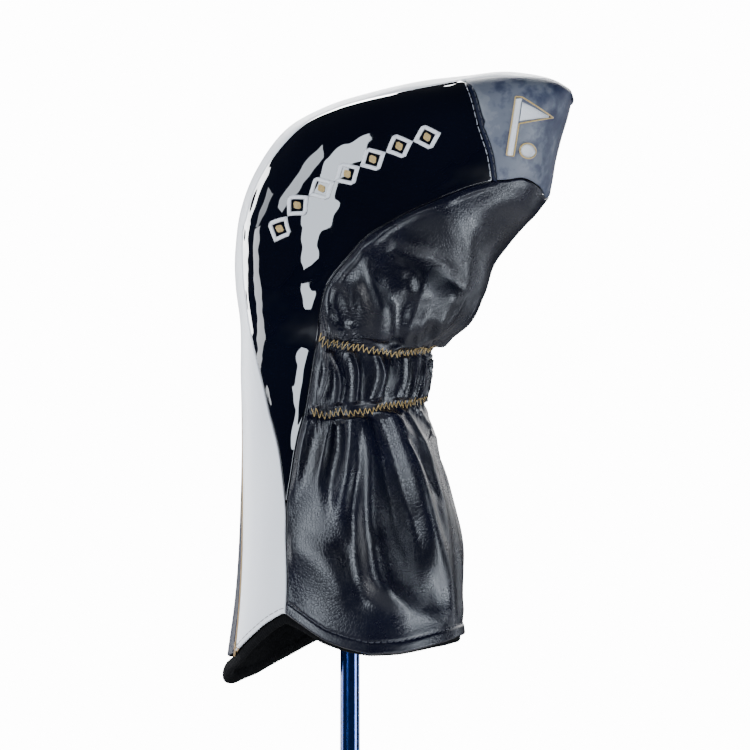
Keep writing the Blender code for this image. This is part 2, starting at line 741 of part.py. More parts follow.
def cord(name, path, radius, mat):
    c = bpy.data.curves.new(name, "CURVE")
    c.dimensions = "3D"
    c.bevel_depth = radius
    c.bevel_resolution = 1
    c.use_fill_caps = True
    sp = c.splines.new("POLY")
    sp.points.add(len(path) - 1)
    for p, q in zip(sp.points, path):
        p.co = (*q, 1.0)
    o = new_object(name, c)
    c.materials.append(mat)
    o.parent = COVER
    o.matrix_parent_inverse = COVER.matrix_basis.inverted()
    return o


def cord_path(angle, rows, inward, bend=flat):
    out = []
    for s in rows:
        th = settle(angle, s, bend)
        out.append(cover_point(s + bend(s, th), th, inward))
    return out


piping_rows = between(HEM_S, 17.5, STRIPE_END - 0.2)
cord("piping_front", cord_path(pipe, piping_rows, 0.0006, hem_bend), 0.0008, M_GOLD)
cord("piping_back", cord_path(lambda s: other_side(pipe(s)), piping_rows, 0.0006,
                              hem_bend), 0.0008, M_GOLD)
welt_rows = between(4.35, CORNER_S - 0.3, CORNER_S - 0.3)
cord("welt_front", cord_path(gloss_seam, welt_rows, 0.0006), 0.0009, M_LEATHER)
cord("welt_back", cord_path(lambda s: other_side(gloss_seam(s)), welt_rows, 0.0006),
     0.0009, M_LEATHER)


def leather_lo(s, side):
    if s < TIP_S:
        return along_seam(gus, s, E, side)
    return along_seam(gloss_seam, s, WELT if s > 4.2 else E, side)


sock_rows = between(HEM_S, CORNER_S - 0.2, CORNER_S - 0.08)
sock_top = sock_rows[-1]


def sock_bend(s, th):
    v = (s - HEM_S) / (sock_top - HEM_S)
    return hem_bend(s, th) + (crown_station(th) - 0.05 - sock_top) * v ** 8


cover_panel("leather_sock", sock_rows, lambda s: leather_lo(s, 1),
            lambda s: 360 + leather_lo(s, -1), 19, M_LEATHER, bend=sock_bend)

for name, rows in (("elastic_lower", [5.7, 6.0, 6.3]), ("elastic_upper", [7.7, 8.0, 8.3])):
    cover_panel(name, rows, lambda s: 52.0, lambda s: 360 + other_side(52.0), 17,
                M_ELASTIC, inward=MID_IN, thick=MID_T)
pair("foam_pad", between(9.0, 17.5),
     lambda s, side: along_seam(gus, s, 5.0, side),
     lambda s, side: along_seam(lambda q: gloss_seam(min(q, CORNER_S)), s, 4.0, side),
     7, M_FOAM, inward=MID_IN + 0.0008, thick=MID_T)

binding = []
for lift in (0.02, 0.40):
    binding.append([cover_point(hem_station(th) + lift, th, MID_IN + 0.0004)
                    for th in (12.0 * j for j in range(30))])
sheet("hem_binding", binding, MID_T, COVER, M_LINING, ring=True, centre=nearest_axis)

lining_rows = [HEM_S, 1.4, 2.9, 4.35, 5.7, 6.3, 7.0, 7.7, 8.3, 9.0, 9.7, 10.5, 12.1,
               13.6, 15.0, 16.6, 18.1, 19.2]
lining = []
for s in lining_rows:
    lining.append([cover_point(s + hem_bend(s, th) + 0.05, th, LINE_IN)
                   for th in (18.0 * j for j in range(20))])
sheet("fleece_lining", lining, LINE_T, COVER, M_LINING, ring=True, cap=True,
      centre=nearest_axis)
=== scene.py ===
"""Looks of the fairway wood and its headcover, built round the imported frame."""
import bpy
import bmesh
import math
import numpy as np
from mathutils import Vector, Matrix
from mathutils.kdtree import KDTree


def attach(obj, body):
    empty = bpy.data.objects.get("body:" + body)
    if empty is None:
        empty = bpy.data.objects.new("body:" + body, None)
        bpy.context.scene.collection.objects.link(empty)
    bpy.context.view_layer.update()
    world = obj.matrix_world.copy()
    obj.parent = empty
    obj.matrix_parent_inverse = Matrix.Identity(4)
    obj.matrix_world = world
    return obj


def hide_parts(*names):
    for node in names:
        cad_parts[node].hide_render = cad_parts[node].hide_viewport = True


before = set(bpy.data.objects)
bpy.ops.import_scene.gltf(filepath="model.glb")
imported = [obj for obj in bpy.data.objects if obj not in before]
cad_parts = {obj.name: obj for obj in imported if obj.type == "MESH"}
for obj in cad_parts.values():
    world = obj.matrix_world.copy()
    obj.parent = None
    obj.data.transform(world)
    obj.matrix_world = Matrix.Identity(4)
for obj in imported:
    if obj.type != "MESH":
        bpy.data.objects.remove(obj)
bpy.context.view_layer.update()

COVER_Z = 1.092
SOLE_Z = 1.089
UNIT = 0.47          # mm per unit of the side-view grid used for seams below
SPINE = -14.0
MM = 0.001
RNG = np.random.default_rng(11)


def side(points):
    """Side-view grid points (across, down) to x and z in mm from the datum."""
    p = np.asarray(points, float)
    return np.stack([(p[..., 0] - 350.0) * UNIT, (166.0 - p[..., 1]) * UNIT], -1)


# ------------------------------------------------------------ cover surface
ST = np.array([
    (-60.6, -246.3, 57.3, -246.3, 47.0, 6.0, 2.1),
    (-56.9, -225.1, 54.5, -225.1, 46.5, 6.0, 2.1),
    (-54.0, -204.0, 52.2, -204.0, 46.0, 7.0, 2.1),
    (-52.2, -180.5, 50.3, -180.5, 45.0, 8.0, 2.1),
    (-51.2, -152.3, 45.1, -152.3, 43.0, 10.0, 2.1),
    (-50.8, -128.8, 39.0, -128.8, 40.0, 12.0, 2.2),
    (-50.8, -113.3, 35.2, -113.3, 38.0, 14.0, 2.2),
    (-51.2, -99.6, 38.1, -99.6, 38.5, 16.0, 2.2),
    (-51.2, -86.0, 39.5, -86.0, 39.5, 18.0, 2.2),
    (-51.7, -72.4, 55.0, -73.3, 46.0, 21.0, 2.3),
    (-53.6, -55.9, 63.4, -59.7, 50.0, 24.0, 2.5),
    (-54.0, -39.5, 68.1, -46.1, 52.5, 25.5, 2.5),
    (-51.7, -20.7, 74.7, -36.7, 53.0, 26.0, 2.5),
    (-44.2, -1.9, 82.7, -27.7, 53.0, 26.0, 2.5),
    (-30.5, 16.9, 89.8, -20.2, 53.0, 26.0, 2.5),
    (-11.8, 28.2, 94.0, -14.6, 53.0, 26.0, 2.5),
    (9.4, 34.8, 95.9, -7.0, 52.5, 26.0, 2.5),
    (30.5, 39.5, 97.3, 2.8, 52.0, 26.0, 2.5),
    (51.7, 42.3, 99.6, 13.2, 50.0, 26.0, 2.5),
    (72.8, 44.2, 102.5, 23.0, 46.0, 25.5, 2.5),
    (91.6, 41.8, 104.3, 30.1, 38.0, 25.0, 2.5),
    (101.6, 36.9, 104.5, 30.9, 30.0, 24.0, 2.5),
    (103.6, 34.2, 104.3, 32.0, 26.0, 24.0, 2.5)])
LAST = len(ST) - 1
EXT = np.vstack([2 * ST[0] - ST[1], ST, 2 * ST[-1] - ST[-2]])


def row_at(s):
    s = np.clip(np.asarray(s, float), 0.0, LAST - 1e-9)
    i = s.astype(int)
    t = (s - i)[..., None]
    a, b, c, d = EXT[i], EXT[i + 1], EXT[i + 2], EXT[i + 3]
    return 0.5 * (2 * b + (c - a) * t + (2 * a - 5 * b + 4 * c - d) * t ** 2
                  + (3 * b - a - 3 * c + d) * t ** 3)


def power(c, e):
    return np.sign(c) * np.abs(c) ** e


def base(s, th):
    s, th = np.broadcast_arrays(np.asarray(s, float), np.asarray(th, float))
    r = row_at(s)
    n = r[..., 6]
    c, q = np.cos(np.radians(th)), np.sin(np.radians(th))
    k = 0.5 * (1 - power(c, 2 / n))
    x = r[..., 0] + (r[..., 2] - r[..., 0]) * k
    z = r[..., 1] + (r[..., 3] - r[..., 1]) * k
    y = r[..., 5] - r[..., 4] * power(q, 2 / n)
    return np.stack([x * MM, y * MM, COVER_Z + z * MM], -1)


def middle(s):
    r = row_at(s)
    return np.stack([(r[..., 0] + r[..., 2]) / 2 * MM, r[..., 5] * MM,
                     COVER_Z + (r[..., 1] + r[..., 3]) / 2 * MM], -1)


def normal(s, th):
    s, th = np.broadcast_arrays(np.asarray(s, float), np.asarray(th, float))
    e = 0.10
    a = base(np.minimum(s + e, LAST), th) - base(np.maximum(s - e, 0), th)
    b = base(s, th + 3) - base(s, th - 3)
    n = np.cross(a, b)
    n /= np.maximum(np.linalg.norm(n, axis=-1, keepdims=True), 1e-12)
    out = base(s, th) - middle(s)
    flip = np.sign(np.sum(n * out, -1, keepdims=True))
    flip[flip == 0] = 1
    return n * flip


def dense(line, per=10):
    """Catmull-Rom through the points of a line."""
    p = np.asarray(line, float)
    e = np.vstack([2 * p[0] - p[1], p, 2 * p[-1] - p[-2]])
    out = []
    for i in range(len(p) - 1):
        t = (np.arange(per) / per)[:, None]
        a, b, c, d = e[i], e[i + 1], e[i + 2], e[i + 3]
        out.append(0.5 * (2 * b + (c - a) * t + (2 * a - 5 * b + 4 * c - d) * t ** 2
                          + (3 * b - a - 3 * c + d) * t ** 3))
    out.append(p[-1:])
    return np.vstack(out)


S_TABLE = np.linspace(0, LAST, 1101)


def seam_table(line, low=0.0, high=float(LAST)):
    """Angle of a seam on the face side against station."""
    p = dense(line, 6)
    a, b = p[:-1], p[1:]
    e = b - a
    r = row_at(S_TABLE)
    out = np.zeros(len(S_TABLE))
    for k, (lx, lz, rx, rz, dep, mid, n) in enumerate(r):
        dx, dz = rx - lx, rz - lz
        det = -dx * e[:, 1] + e[:, 0] * dz
        det[np.abs(det) < 1e-9] = 1e-9
        wx, wz = a[:, 0] - lx, a[:, 1] - lz
        t = (-wx * e[:, 1] + e[:, 0] * wz) / det
        u = (dx * wz - dz * wx) / det
        miss = np.maximum(np.maximum(-u, u - 1), 0)
        j = int(np.argmin(miss))
        q = min(max(t[j], 0.0), 1.0)
        out[k] = math.degrees(math.acos(max(-1, min(1, float(power(1 - 2 * q, n / 2))))))
    return out


def soften(v, n):
    k = np.hanning(2 * n + 3)
    k /= k.sum()
    return np.convolve(np.pad(v, n + 1, mode="edge"), k, mode="valid")


def locate(points):
    """Station and angle on the face side of side-view points in mm."""
    p = np.asarray(points, float)
    lo = np.zeros(p.shape[:-1])
    hi = np.full(p.shape[:-1], float(LAST))
    for _ in range(34):
        m = (lo + hi) / 2
        r = row_at(m)
        over = ((r[..., 2] - r[..., 0]) * (p[..., 1] - r[..., 1])
                - (r[..., 3] - r[..., 1]) * (p[..., 0] - r[..., 0])) > 0
        lo, hi = np.where(over, m, lo), np.where(over, hi, m)
    s = (lo + hi) / 2
    r = row_at(s)
    dx, dz = r[..., 2] - r[..., 0], r[..., 3] - r[..., 1]
    t = ((p[..., 0] - r[..., 0]) * dx + (p[..., 1] - r[..., 1]) * dz) / (dx ** 2 + dz ** 2)
    c = power(1 - 2 * np.clip(t, 0, 1), r[..., 6] / 2)
    return s, np.degrees(np.arccos(np.clip(c, -1, 1)))


SEAM_GUSSET = [(285, 720), (286, 640), (287, 610), (288, 590), (288, 564), (287, 533),
               (287, 509), (284, 479), (279.5, 448), (273.5, 424), (270, 412),
               (263, 382), (255, 351), (249, 321), (245, 291), (243, 266), (243, 230),
               (246, 221), (253, 195), (265, 170), (282, 147), (305, 125), (328, 113),
               (355, 104), (395, 95), (430, 88), (464, 82), (489, 79.5), (520, 80),
               (548, 82), (560, 85), (569, 91), (575, 95)]
SEAM_GLOSS = [(288.6, 503), (290, 491), (293, 473), (296, 454), (300, 434), (306, 412),
              (311, 382), (315, 357), (319, 336), (321, 313), (326, 292), (334, 277),
              (349, 259), (363, 243), (384, 228), (412, 213), (440, 201), (468, 190),
              (491, 184)]
SEAM_TOE = [(491, 184), (487, 158), (478, 130), (471, 102), (464, 82)]
SEAM_CROWN = [(491, 184), (506, 183), (520, 181), (531, 184), (540, 190), (546, 200)]
T_GUS = soften(seam_table(side(SEAM_GUSSET)), 5)
T_GLOSS = soften(seam_table(side(SEAM_GLOSS)), 3)
T_TOE = soften(seam_table(side(SEAM_TOE)), 2)
TIP_S = float(locate(side((288.6, 503)))[0])
CORNER_S = float(locate(side((491, 184)))[0])
TOP_S = float(locate(side((464, 82)))[0])
STRIPE = np.array([(0, 23.0), (1, 21.0), (2, 18.5), (3, 16.0), (4, 12.0), (5, 7.5),
                   (6, 3.0), (7, -1.0), (8, -4.0), (10, -5.0), (14, -5.0),
                   (16, -3.0), (18, -1.0), (22, -1.0)])


def gus(s):
    return np.interp(s, S_TABLE, T_GUS)


def gloss_seam(s):
    return np.interp(s, S_TABLE, T_GLOSS)


def toe_seam(s):
    return np.interp(s, S_TABLE, T_TOE)


T_PIPE = soften(np.interp(S_TABLE, STRIPE[:, 0], STRIPE[:, 1]), 20)


def pipe(s):
    return np.interp(s, S_TABLE, T_PIPE)


def other(th):
    return 2 * SPINE - th


# Hem heights in grid units against angle: outer panels, and the black binding.
HEM = [(-180, 633), (-150, 638), (-125, 640), (-95, 624), (-80, 626), (-60, 640),
       (-39, 652), (-20, 657), (-8, 656), (0, 654), (10, 653), (22, 649), (36, 632),
       (47, 618), (57.5, 608), (68, 620), (80, 635), (90, 643), (100, 648.5),
       (115, 647.5), (137, 640), (160, 634), (180, 633)]
BIND = [(-180, 639), (-150, 641), (-125, 642), (-95, 630), (-80, 638), (-60, 657),
        (-39, 674), (-20, 681), (-8, 679), (0, 673), (10, 667), (22, 659.5),
        (36, 641), (47, 627), (57.5, 617), (68, 625), (80, 638), (90, 645.5),
        (100, 650), (115, 649), (137, 643), (160, 639.5), (180, 639)]
TH_TABLE = np.linspace(-180, 180, 721)


def hem_table(table, soft):
    a = np.array(table, float)
    ext = np.vstack([a[:-1] - (360, 0), a, a[1:] + (360, 0)])
    v = np.interp(np.linspace(-360, 360, 1441), ext[:, 0], ext[:, 1])
    v = soften(v, soft)[360:1081]
    z = (166.0 - v) * UNIT
    zs = row_at(S_TABLE[:260])[:, 1]
    return np.interp(z, zs, S_TABLE[:260])


H_OUT = hem_table(HEM, 5)
H_BIND = hem_table(BIND, 9)


def hem_s(th, table=None):
    w = (np.asarray(th) + 180.0) % 360.0 - 180.0
    return np.interp(w, TH_TABLE, H_OUT if table is None else table)


cs, ct = locate(side(dense(SEAM_CROWN, 6)))
CROWN_TH = np.concatenate([ct, [180 + SPINE]])
CROWN_S = np.concatenate([cs, [cs[-1]]])


def crown_s(th):
    m = 180 + SPINE
    t = np.where(th <= m, th, 2 * m - th)
    return np.interp(t, CROWN_TH, CROWN_S)


def arc(s, th):
    """Metres per degree round the cover."""
    return np.linalg.norm(base(s, th + 1) - base(s, th - 1), axis=-1) / 2


def edge(line, s, mm):
    """A seam's angle moved sideways, square to the seam, by some mm."""
    th = line(s)
    r = (base(s, th + 1) - base(s, th - 1)) / 2
    lo, hi = np.maximum(s - 0.15, 0), np.minimum(s + 0.15, LAST)
    t = base(hi, line(hi)) - base(lo, line(lo))
    rl = np.linalg.norm(r, axis=-1)
    slant = np.linalg.norm(np.cross(t, r), axis=-1) / np.maximum(
        np.linalg.norm(t, axis=-1) * rl, 1e-12)
    return th + mm * MM / (np.maximum(rl, 5e-5) * np.maximum(slant, 0.35))


def along(line, s, mm, way):
    if way > 0:
        return edge(line, s, mm)
    return edge(lambda q: other(line(q)), s, -mm)


# -------------------------------------------------------------- mesh helpers
COLL = bpy.context.scene.collection


def mesh_object(name, verts, faces, smooth=True):
    me = bpy.data.meshes.new(name)
    me.from_pydata([tuple(map(float, v)) for v in verts], [], faces)
    me.update()
    if smooth:
        me.polygons.foreach_set("use_smooth", [True] * len(me.polygons))
    o = bpy.data.objects.new(name, me)
    COLL.objects.link(o)
    return o


def grid_faces(n, m, ring=False, start=0, flip=False):
    i, j = np.meshgrid(np.arange(n - 1), np.arange(m if ring else m - 1), indexing="ij")
    k = (j + 1) % m
    f = np.stack([i * m + j, i * m + k, (i + 1) * m + k, (i + 1) * m + j], -1)
    f = f.reshape(-1, 4) + start
    if flip:
        f = f[:, ::-1]
    return f.tolist()


def grid_object(name, pts, nrm, thick, ring=False, mats=None, uv=None):
    """A smooth sheet from a grid of points, solid inward by some metres."""
    n, m = pts.shape[:2]
    a = np.cross(pts[n // 2, (m // 2 + 1) % m] - pts[n // 2, m // 2],
                 pts[n // 2 + 1, m // 2] - pts[n // 2, m // 2])
    flip = float(np.dot(a, nrm[n // 2, m // 2])) < 0
    o = mesh_object(name, pts.reshape(-1, 3), grid_faces(n, m, ring, flip=flip))
    if thick:
        w = o.modifiers.new("wall", "SOLIDIFY")
        w.thickness = thick
        w.offset = -1.0
    for mt in mats or []:
        o.data.materials.append(mt)
    return o


def spread_ends(n, a=0.8):
    u = np.linspace(0, 1, n)
    return u - a * np.sin(2 * np.pi * u) / (2 * np.pi)


def border_distance(pts, ring=False, skip_first=False, skip_last=False, skip_low=False,
                    skip_high=False):
    """Distance from each grid point to the sheet's border, in mm."""
    rows = []
    if not skip_first:
        rows.append(pts[0])
    if not skip_last:
        rows.append(pts[-1])
    if not ring and not skip_low:
        rows.append(pts[:, 0])
    if not ring and not skip_high:
        rows.append(pts[:, -1])
    b = np.concatenate(rows)
    kd = KDTree(len(b))
    for i, p in enumerate(b):
        kd.insert(p, i)
    kd.balance()
    flat = pts.reshape(-1, 3)
    return np.array([kd.find(p)[2] for p in flat]).reshape(pts.shape[:2]) * 1000


def roll(dist, r, puff=0.0, reach=6.0):
    """Height in mm of a sheet that turns down at its border."""
    t = np.clip(dist / r, 0, 1)
    return -r * (1 - np.sqrt(np.clip(1 - (1 - t) ** 2, 0, 1))) + puff * (
        1 - np.exp(-dist / reach))


def value_noise(p, scale, seed):
    """Smooth repeatable noise over points, -1 to 1."""
    r = np.random.default_rng(seed)
    out = np.zeros(p.shape[:-1])
    for k in range(7):
        d = r.normal(size=3)
        d /= np.linalg.norm(d)
        f = r.uniform(0.6, 1.5) / scale
        out += np.sin((p @ d) * 2 * np.pi * f + r.uniform(0, 2 * np.pi)) / 3.2
    return np.clip(out, -1, 1)


# ----------------------------------------------------------------- materials
def new_material(name):
    m = bpy.data.materials.new(name)
    m.use_nodes = True
    nt = m.node_tree
    b = nt.nodes["Principled BSDF"]
    return m, nt, b


def node(nt, kind, **values):
    n = nt.nodes.new(kind)
    for k, v in values.items():
        if k in n.inputs:
            n.inputs[k].default_value = v
        else:
            setattr(n, k, v)
    return n


def coords(nt):
    return node(nt, "ShaderNodeTexCoord").outputs["Object"]


def noise(nt, scale, detail=3.0, rough=0.5, vec=None):
    n = node(nt, "ShaderNodeTexNoise", Scale=scale, Detail=detail, Roughness=rough)
    nt.links.new(vec or coords(nt), n.inputs["Vector"])
    return n.outputs["Fac"]


def voronoi(nt, scale, feature="F1", vec=None, out="Distance"):
    n = nt.nodes.new("ShaderNodeTexVoronoi")
    n.feature = feature
    n.inputs["Scale"].default_value = scale
    nt.links.new(vec or coords(nt), n.inputs["Vector"])
    return n.outputs[out]


def ramp(nt, fac, stops):
    r = nt.nodes.new("ShaderNodeValToRGB")
    r.color_ramp.elements[0].position, r.color_ramp.elements[0].color = stops[0]
    r.color_ramp.elements[1].position, r.color_ramp.elements[1].color = stops[-1]
    for pos, col in stops[1:-1]:
        e = r.color_ramp.elements.new(pos)
        e.color = col
    nt.links.new(fac, r.inputs["Fac"])
    return r.outputs["Color"]


def span(nt, fac, low, high):
    n = node(nt, "ShaderNodeMapRange")
    n.inputs["To Min"].default_value = low
    n.inputs["To Max"].default_value = high
    nt.links.new(fac, n.inputs["Value"])
    return n.outputs["Result"]


def math_node(nt, op, a, b=None):
    n = node(nt, "ShaderNodeMath", operation=op)
    for i, v in enumerate((a, b)):
        if v is None:
            continue
        if isinstance(v, (int, float)):
            n.inputs[i].default_value = v
        else:
            nt.links.new(v, n.inputs[i])
    return n.outputs[0]


def bump(nt, height, strength, distance, under=None):
    n = node(nt, "ShaderNodeBump", Strength=strength, Distance=distance)
    nt.links.new(height, n.inputs["Height"])
    if under is not None:
        nt.links.new(under, n.inputs["Normal"])
    return n.outputs["Normal"]


def stretched(nt, sx, sy, sz):
    n = node(nt, "ShaderNodeMapping")
    n.inputs["Scale"].default_value = (sx, sy, sz)
    nt.links.new(coords(nt), n.inputs["Vector"])
    return n.outputs["Vector"]


def c4(r, g, b):
    return (r, g, b, 1.0)


def leather(name, dark, light, rough, cell=0.0015, depth=0.00022, coat=0.0):
    m, nt, b = new_material(name)
    big = noise(nt, 26.0, 3.0)
    col = ramp(nt, big, [(0.35, c4(*dark)), (0.7, c4(*light))])
    nt.links.new(col, b.inputs["Base Color"])
    warp = node(nt, "ShaderNodeTexNoise", Scale=420.0, Detail=2.0)
    nt.links.new(coords(nt), warp.inputs["Vector"])
    mix = node(nt, "ShaderNodeVectorMath", operation="SCALE")
    nt.links.new(warp.outputs["Color"], mix.inputs[0])
    mix.inputs["Scale"].default_value = 0.0007
    add = node(nt, "ShaderNodeVectorMath", operation="ADD")
    nt.links.new(coords(nt), add.inputs[0])
    nt.links.new(mix.outputs[0], add.inputs[1])
    cells = voronoi(nt, 1 / cell, "SMOOTH_F1", add.outputs[0])
    grooves = voronoi(nt, 1 / cell, "DISTANCE_TO_EDGE", add.outputs[0])
    g = ramp(nt, grooves, [(0.0, c4(0, 0, 0)), (0.16, c4(1, 1, 1))])
    dome = math_node(nt, "MULTIPLY", cells, -0.8)
    h = math_node(nt, "ADD", g, dome)
    fine = noise(nt, 2600.0, 2.0)
    n1 = bump(nt, h, 0.5, depth)
    n2 = bump(nt, fine, 0.02, 0.00002, n1)
    nt.links.new(n2, b.inputs["Normal"])
    r = span(nt, noise(nt, 60.0, 3.0), rough - 0.06, rough + 0.08)
    nt.links.new(r, b.inputs["Roughness"])
    b.inputs["Coat Weight"].default_value = coat
    b.inputs["Coat Roughness"].default_value = 0.3
    return m


M_LEATHER = leather("navy_leather_look", (0.0010, 0.0015, 0.0062), (0.0022, 0.0031, 0.0120),
                    0.27, cell=0.0013, depth=0.000075)
M_LEATHER.node_tree.nodes["Principled BSDF"].inputs["Specular IOR Level"].default_value = 0.5

M_GLOSS, nt, b = new_material("gloss_navy_look")
nt.links.new(ramp(nt, noise(nt, 18.0), [(0.3, c4(0.0006, 0.0012, 0.0045)),
                                       (0.8, c4(0.0012, 0.0022, 0.0075))]),
             b.inputs["Base Color"])
nt.links.new(span(nt, noise(nt, 900.0, 2.0), 0.015, 0.03), b.inputs["Roughness"])
b.inputs["Coat Weight"].default_value = 1.0
b.inputs["Coat Roughness"].default_value = 0.015
b.inputs["Specular IOR Level"].default_value = 0.6
nt.links.new(bump(nt, noise(nt, 700.0, 2.0), 0.05, 0.00005), b.inputs["Normal"])

M_TOE, nt, b = new_material("toe_print_and_shade_look")
co = coords(nt)
n1 = noise(nt, 75.0, 4.0, 0.55)
n2 = noise(nt, 190.0, 3.0, 0.6)
mixn = math_node(nt, "ADD", math_node(nt, "MULTIPLY", n1, 0.75),
                 math_node(nt, "MULTIPLY", n2, 0.25))
# painted shade: the camo print is darkened towards the toe end (larger x), where the panel rounds
# away from the lights
sep = node(nt, "ShaderNodeSeparateXYZ")
nt.links.new(co, sep.inputs[0])
fade = node(nt, "ShaderNodeMapRange")
for k, v in (("From Min", 0.064), ("From Max", 0.106), ("To Min", 0.0), ("To Max", 0.27)):
    fade.inputs[k].default_value = v
nt.links.new(sep.outputs["X"], fade.inputs["Value"])
tone = math_node(nt, "SUBTRACT", mixn, fade.outputs["Result"])
nt.links.new(ramp(nt, tone, [(0.24, c4(0.020, 0.026, 0.062)), (0.34, c4(0.052, 0.062, 0.100)),
                             (0.40, c4(0.100, 0.112, 0.150)), (0.42, c4(0.125, 0.137, 0.172)),
                             (0.50, c4(0.135, 0.147, 0.182)), (0.52, c4(0.165, 0.177, 0.208)),
                             (0.64, c4(0.20, 0.212, 0.240))]), b.inputs["Base Color"])
nt.links.new(span(nt, n2, 0.42, 0.55), b.inputs["Roughness"])
nt.links.new(bump(nt, voronoi(nt, 1400.0), 0.15, 0.0001), b.inputs["Normal"])


def plain_leather(name, a, c, rough, grain=1500.0, strength=0.2):
    m, nt, b = new_material(name)
    nt.links.new(ramp(nt, noise(nt, 30.0, 4.0), [(0.3, c4(*a)), (0.75, c4(*c))]),
                 b.inputs["Base Color"])
    nt.links.new(span(nt, noise(nt, 80.0), rough - 0.05, rough + 0.07),
                 b.inputs["Roughness"])
    low = bump(nt, noise(nt, 140.0, 3.0), 0.12, 0.0004)
    nt.links.new(bump(nt, voronoi(nt, grain), strength, 0.00012, low),
                 b.inputs["Normal"])
    return m


M_WHITE = plain_leather("white_leather_look", (0.92, 0.92, 0.95), (0.97, 0.97, 0.985), 0.42)
M_NAVY = plain_leather("navy_stripe_look", (0.0030, 0.0048, 0.018), (0.006, 0.0095, 0.030), 0.52)
M_NAVY.node_tree.nodes["Principled BSDF"].inputs["Specular IOR Level"].default_value = 0.2


def thread(name, col, dark, rough=0.5, scale=2600.0):
    m, nt, b = new_material(name)
    nt.links.new(ramp(nt, noise(nt, scale, 2.0), [(0.3, c4(*dark)), (0.7, c4(*col))]),
                 b.inputs["Base Color"])
    nt.links.new(span(nt, noise(nt, scale * 0.6), rough - 0.08, rough + 0.1),
                 b.inputs["Roughness"])
    nt.links.new(bump(nt, noise(nt, scale * 1.3, 2.0), 0.4, 0.0001), b.inputs["Normal"])
    b.inputs["Sheen Weight"].default_value = 0.3
    return m


M_GOLD = thread("gold_piping_look", (0.50, 0.32, 0.14), (0.30, 0.18, 0.07))
M_GOLD_THREAD = thread("gold_thread_look", (0.72, 0.52, 0.22), (0.42, 0.27, 0.08), 0.38)
M_WHITE_THREAD = thread("white_thread_look", (0.95, 0.95, 0.97), (0.80, 0.80, 0.84), 0.4)
M_GREY_THREAD = thread("grey_thread_look", (0.42, 0.43, 0.47), (0.25, 0.26, 0.30), 0.45)
M_DARK_THREAD = thread("dark_thread_look", (0.03, 0.033, 0.05), (0.010, 0.011, 0.02), 0.4)
M_BROWN_THREAD = thread("hem_thread_look", (0.30, 0.27, 0.25), (0.18, 0.16, 0.15), 0.5)


def fleece(name, a, c):
    m, nt, b = new_material(name)
    nt.links.new(ramp(nt, noise(nt, 500.0, 4.0), [(0.3, c4(*a)), (0.8, c4(*c))]),
                 b.inputs["Base Color"])
    nt.links.new(span(nt, noise(nt, 900.0), 0.85, 1.0), b.inputs["Roughness"])
    nt.links.new(bump(nt, noise(nt, 1500.0, 4.0, 0.7), 0.8, 0.0006), b.inputs["Normal"])
    b.inputs["Sheen Weight"].default_value = 0.02
    b.inputs["Sheen Roughness"].default_value = 0.6
    b.inputs["Specular IOR Level"].default_value = 0.08
    return m


M_FLEECE = fleece("black_fleece_look", (0.0006, 0.0006, 0.0008), (0.0022, 0.0022, 0.0026))
M_BINDING = fleece("binding_look", (0.0014, 0.0014, 0.0017), (0.0042, 0.0042, 0.005))
M_FOAM = fleece("foam_look", (0.06, 0.06, 0.06), (0.12, 0.12, 0.12))
M_ELASTIC = fleece("elastic_look", (0.01, 0.01, 0.01), (0.03, 0.03, 0.03))


# --------------------------------------------------------- reading the seams
def flow(px):
    """A side-view line as station against angle, in drawing order."""
    s, th = locate(side(dense(px, 8)))
    return s, th


def to_rows(px, lift=0.0):
    p = side(px)
    s, th = locate(p)
    b, n = base(s, th), normal(s, th)
    return b + n * (lift * MM), n


class Skin:
    """Finds the finished surface of a sheet under a point."""

    def __init__(self, obj):
        from mathutils.bvhtree import BVHTree
        me = obj.data
        v = [x.co.copy() for x in me.vertices]
        f = [tuple(p.vertices) for p in me.polygons]
        self.tree = BVHTree.FromPolygons(v, f)

    def drop(self, p, n, lift=0.0, reach=0.014):
        out = np.array(p, float)
        nn = np.array(n, float)
        for i in range(len(out)):
            d = Vector(nn[i])
            hit, hn, _, _ = self.tree.ray_cast(Vector(out[i]) + d * reach, -d, reach * 2.2)
            if hit is None:
                hit, hn, _, _ = self.tree.find_nearest(Vector(out[i]))
            if hn is not None:
                if hn.dot(d) < 0:
                    hn = -hn
                nn[i] = hn
            out[i] = hit
        return out + nn * (lift * MM), nn


def settle(line, s, bend):
    th = line(s)
    for _ in range(5):
        th = line(s + bend(s, th))
    return th


def flat(s, th):
    return np.zeros(np.broadcast(s, th).shape)


HEM_S = 0.8


def hem_bend(s, th, table=None):
    return (hem_s(th, table) - HEM_S) * np.maximum(0.0, 1 - (s - HEM_S) / (4.3 - HEM_S)) ** 1.6


def grid(rows, lo, hi, m, bend=flat, ends=True):
    """Stations and angles of a panel's grid."""
    rows = np.asarray(rows, float)
    u = spread_ends(m) if ends else np.linspace(0, 1, m)
    a, b = settle(lo, rows, bend), settle(hi, rows, bend)
    th = a[:, None] + (b - a)[:, None] * u[None, :]
    s = rows[:, None] + bend(rows[:, None], th)
    return np.clip(s, 0, LAST - 1e-4), th


def ease(rows_from, rows_to, n, a=0.85):
    u = spread_ends(n, a)
    return rows_from + (rows_to - rows_from) * u


def by_height(s0, s1, n, a=0.9):
    """Rows evenly spaced in millimetres between two stations, finer at the ends."""
    q = np.linspace(s0, s1, 400)
    p = np.concatenate([[0], np.cumsum(np.linalg.norm(np.diff(middle(q), axis=0), axis=1))])
    return np.interp(spread_ends(n, a) * p[-1], p, q)


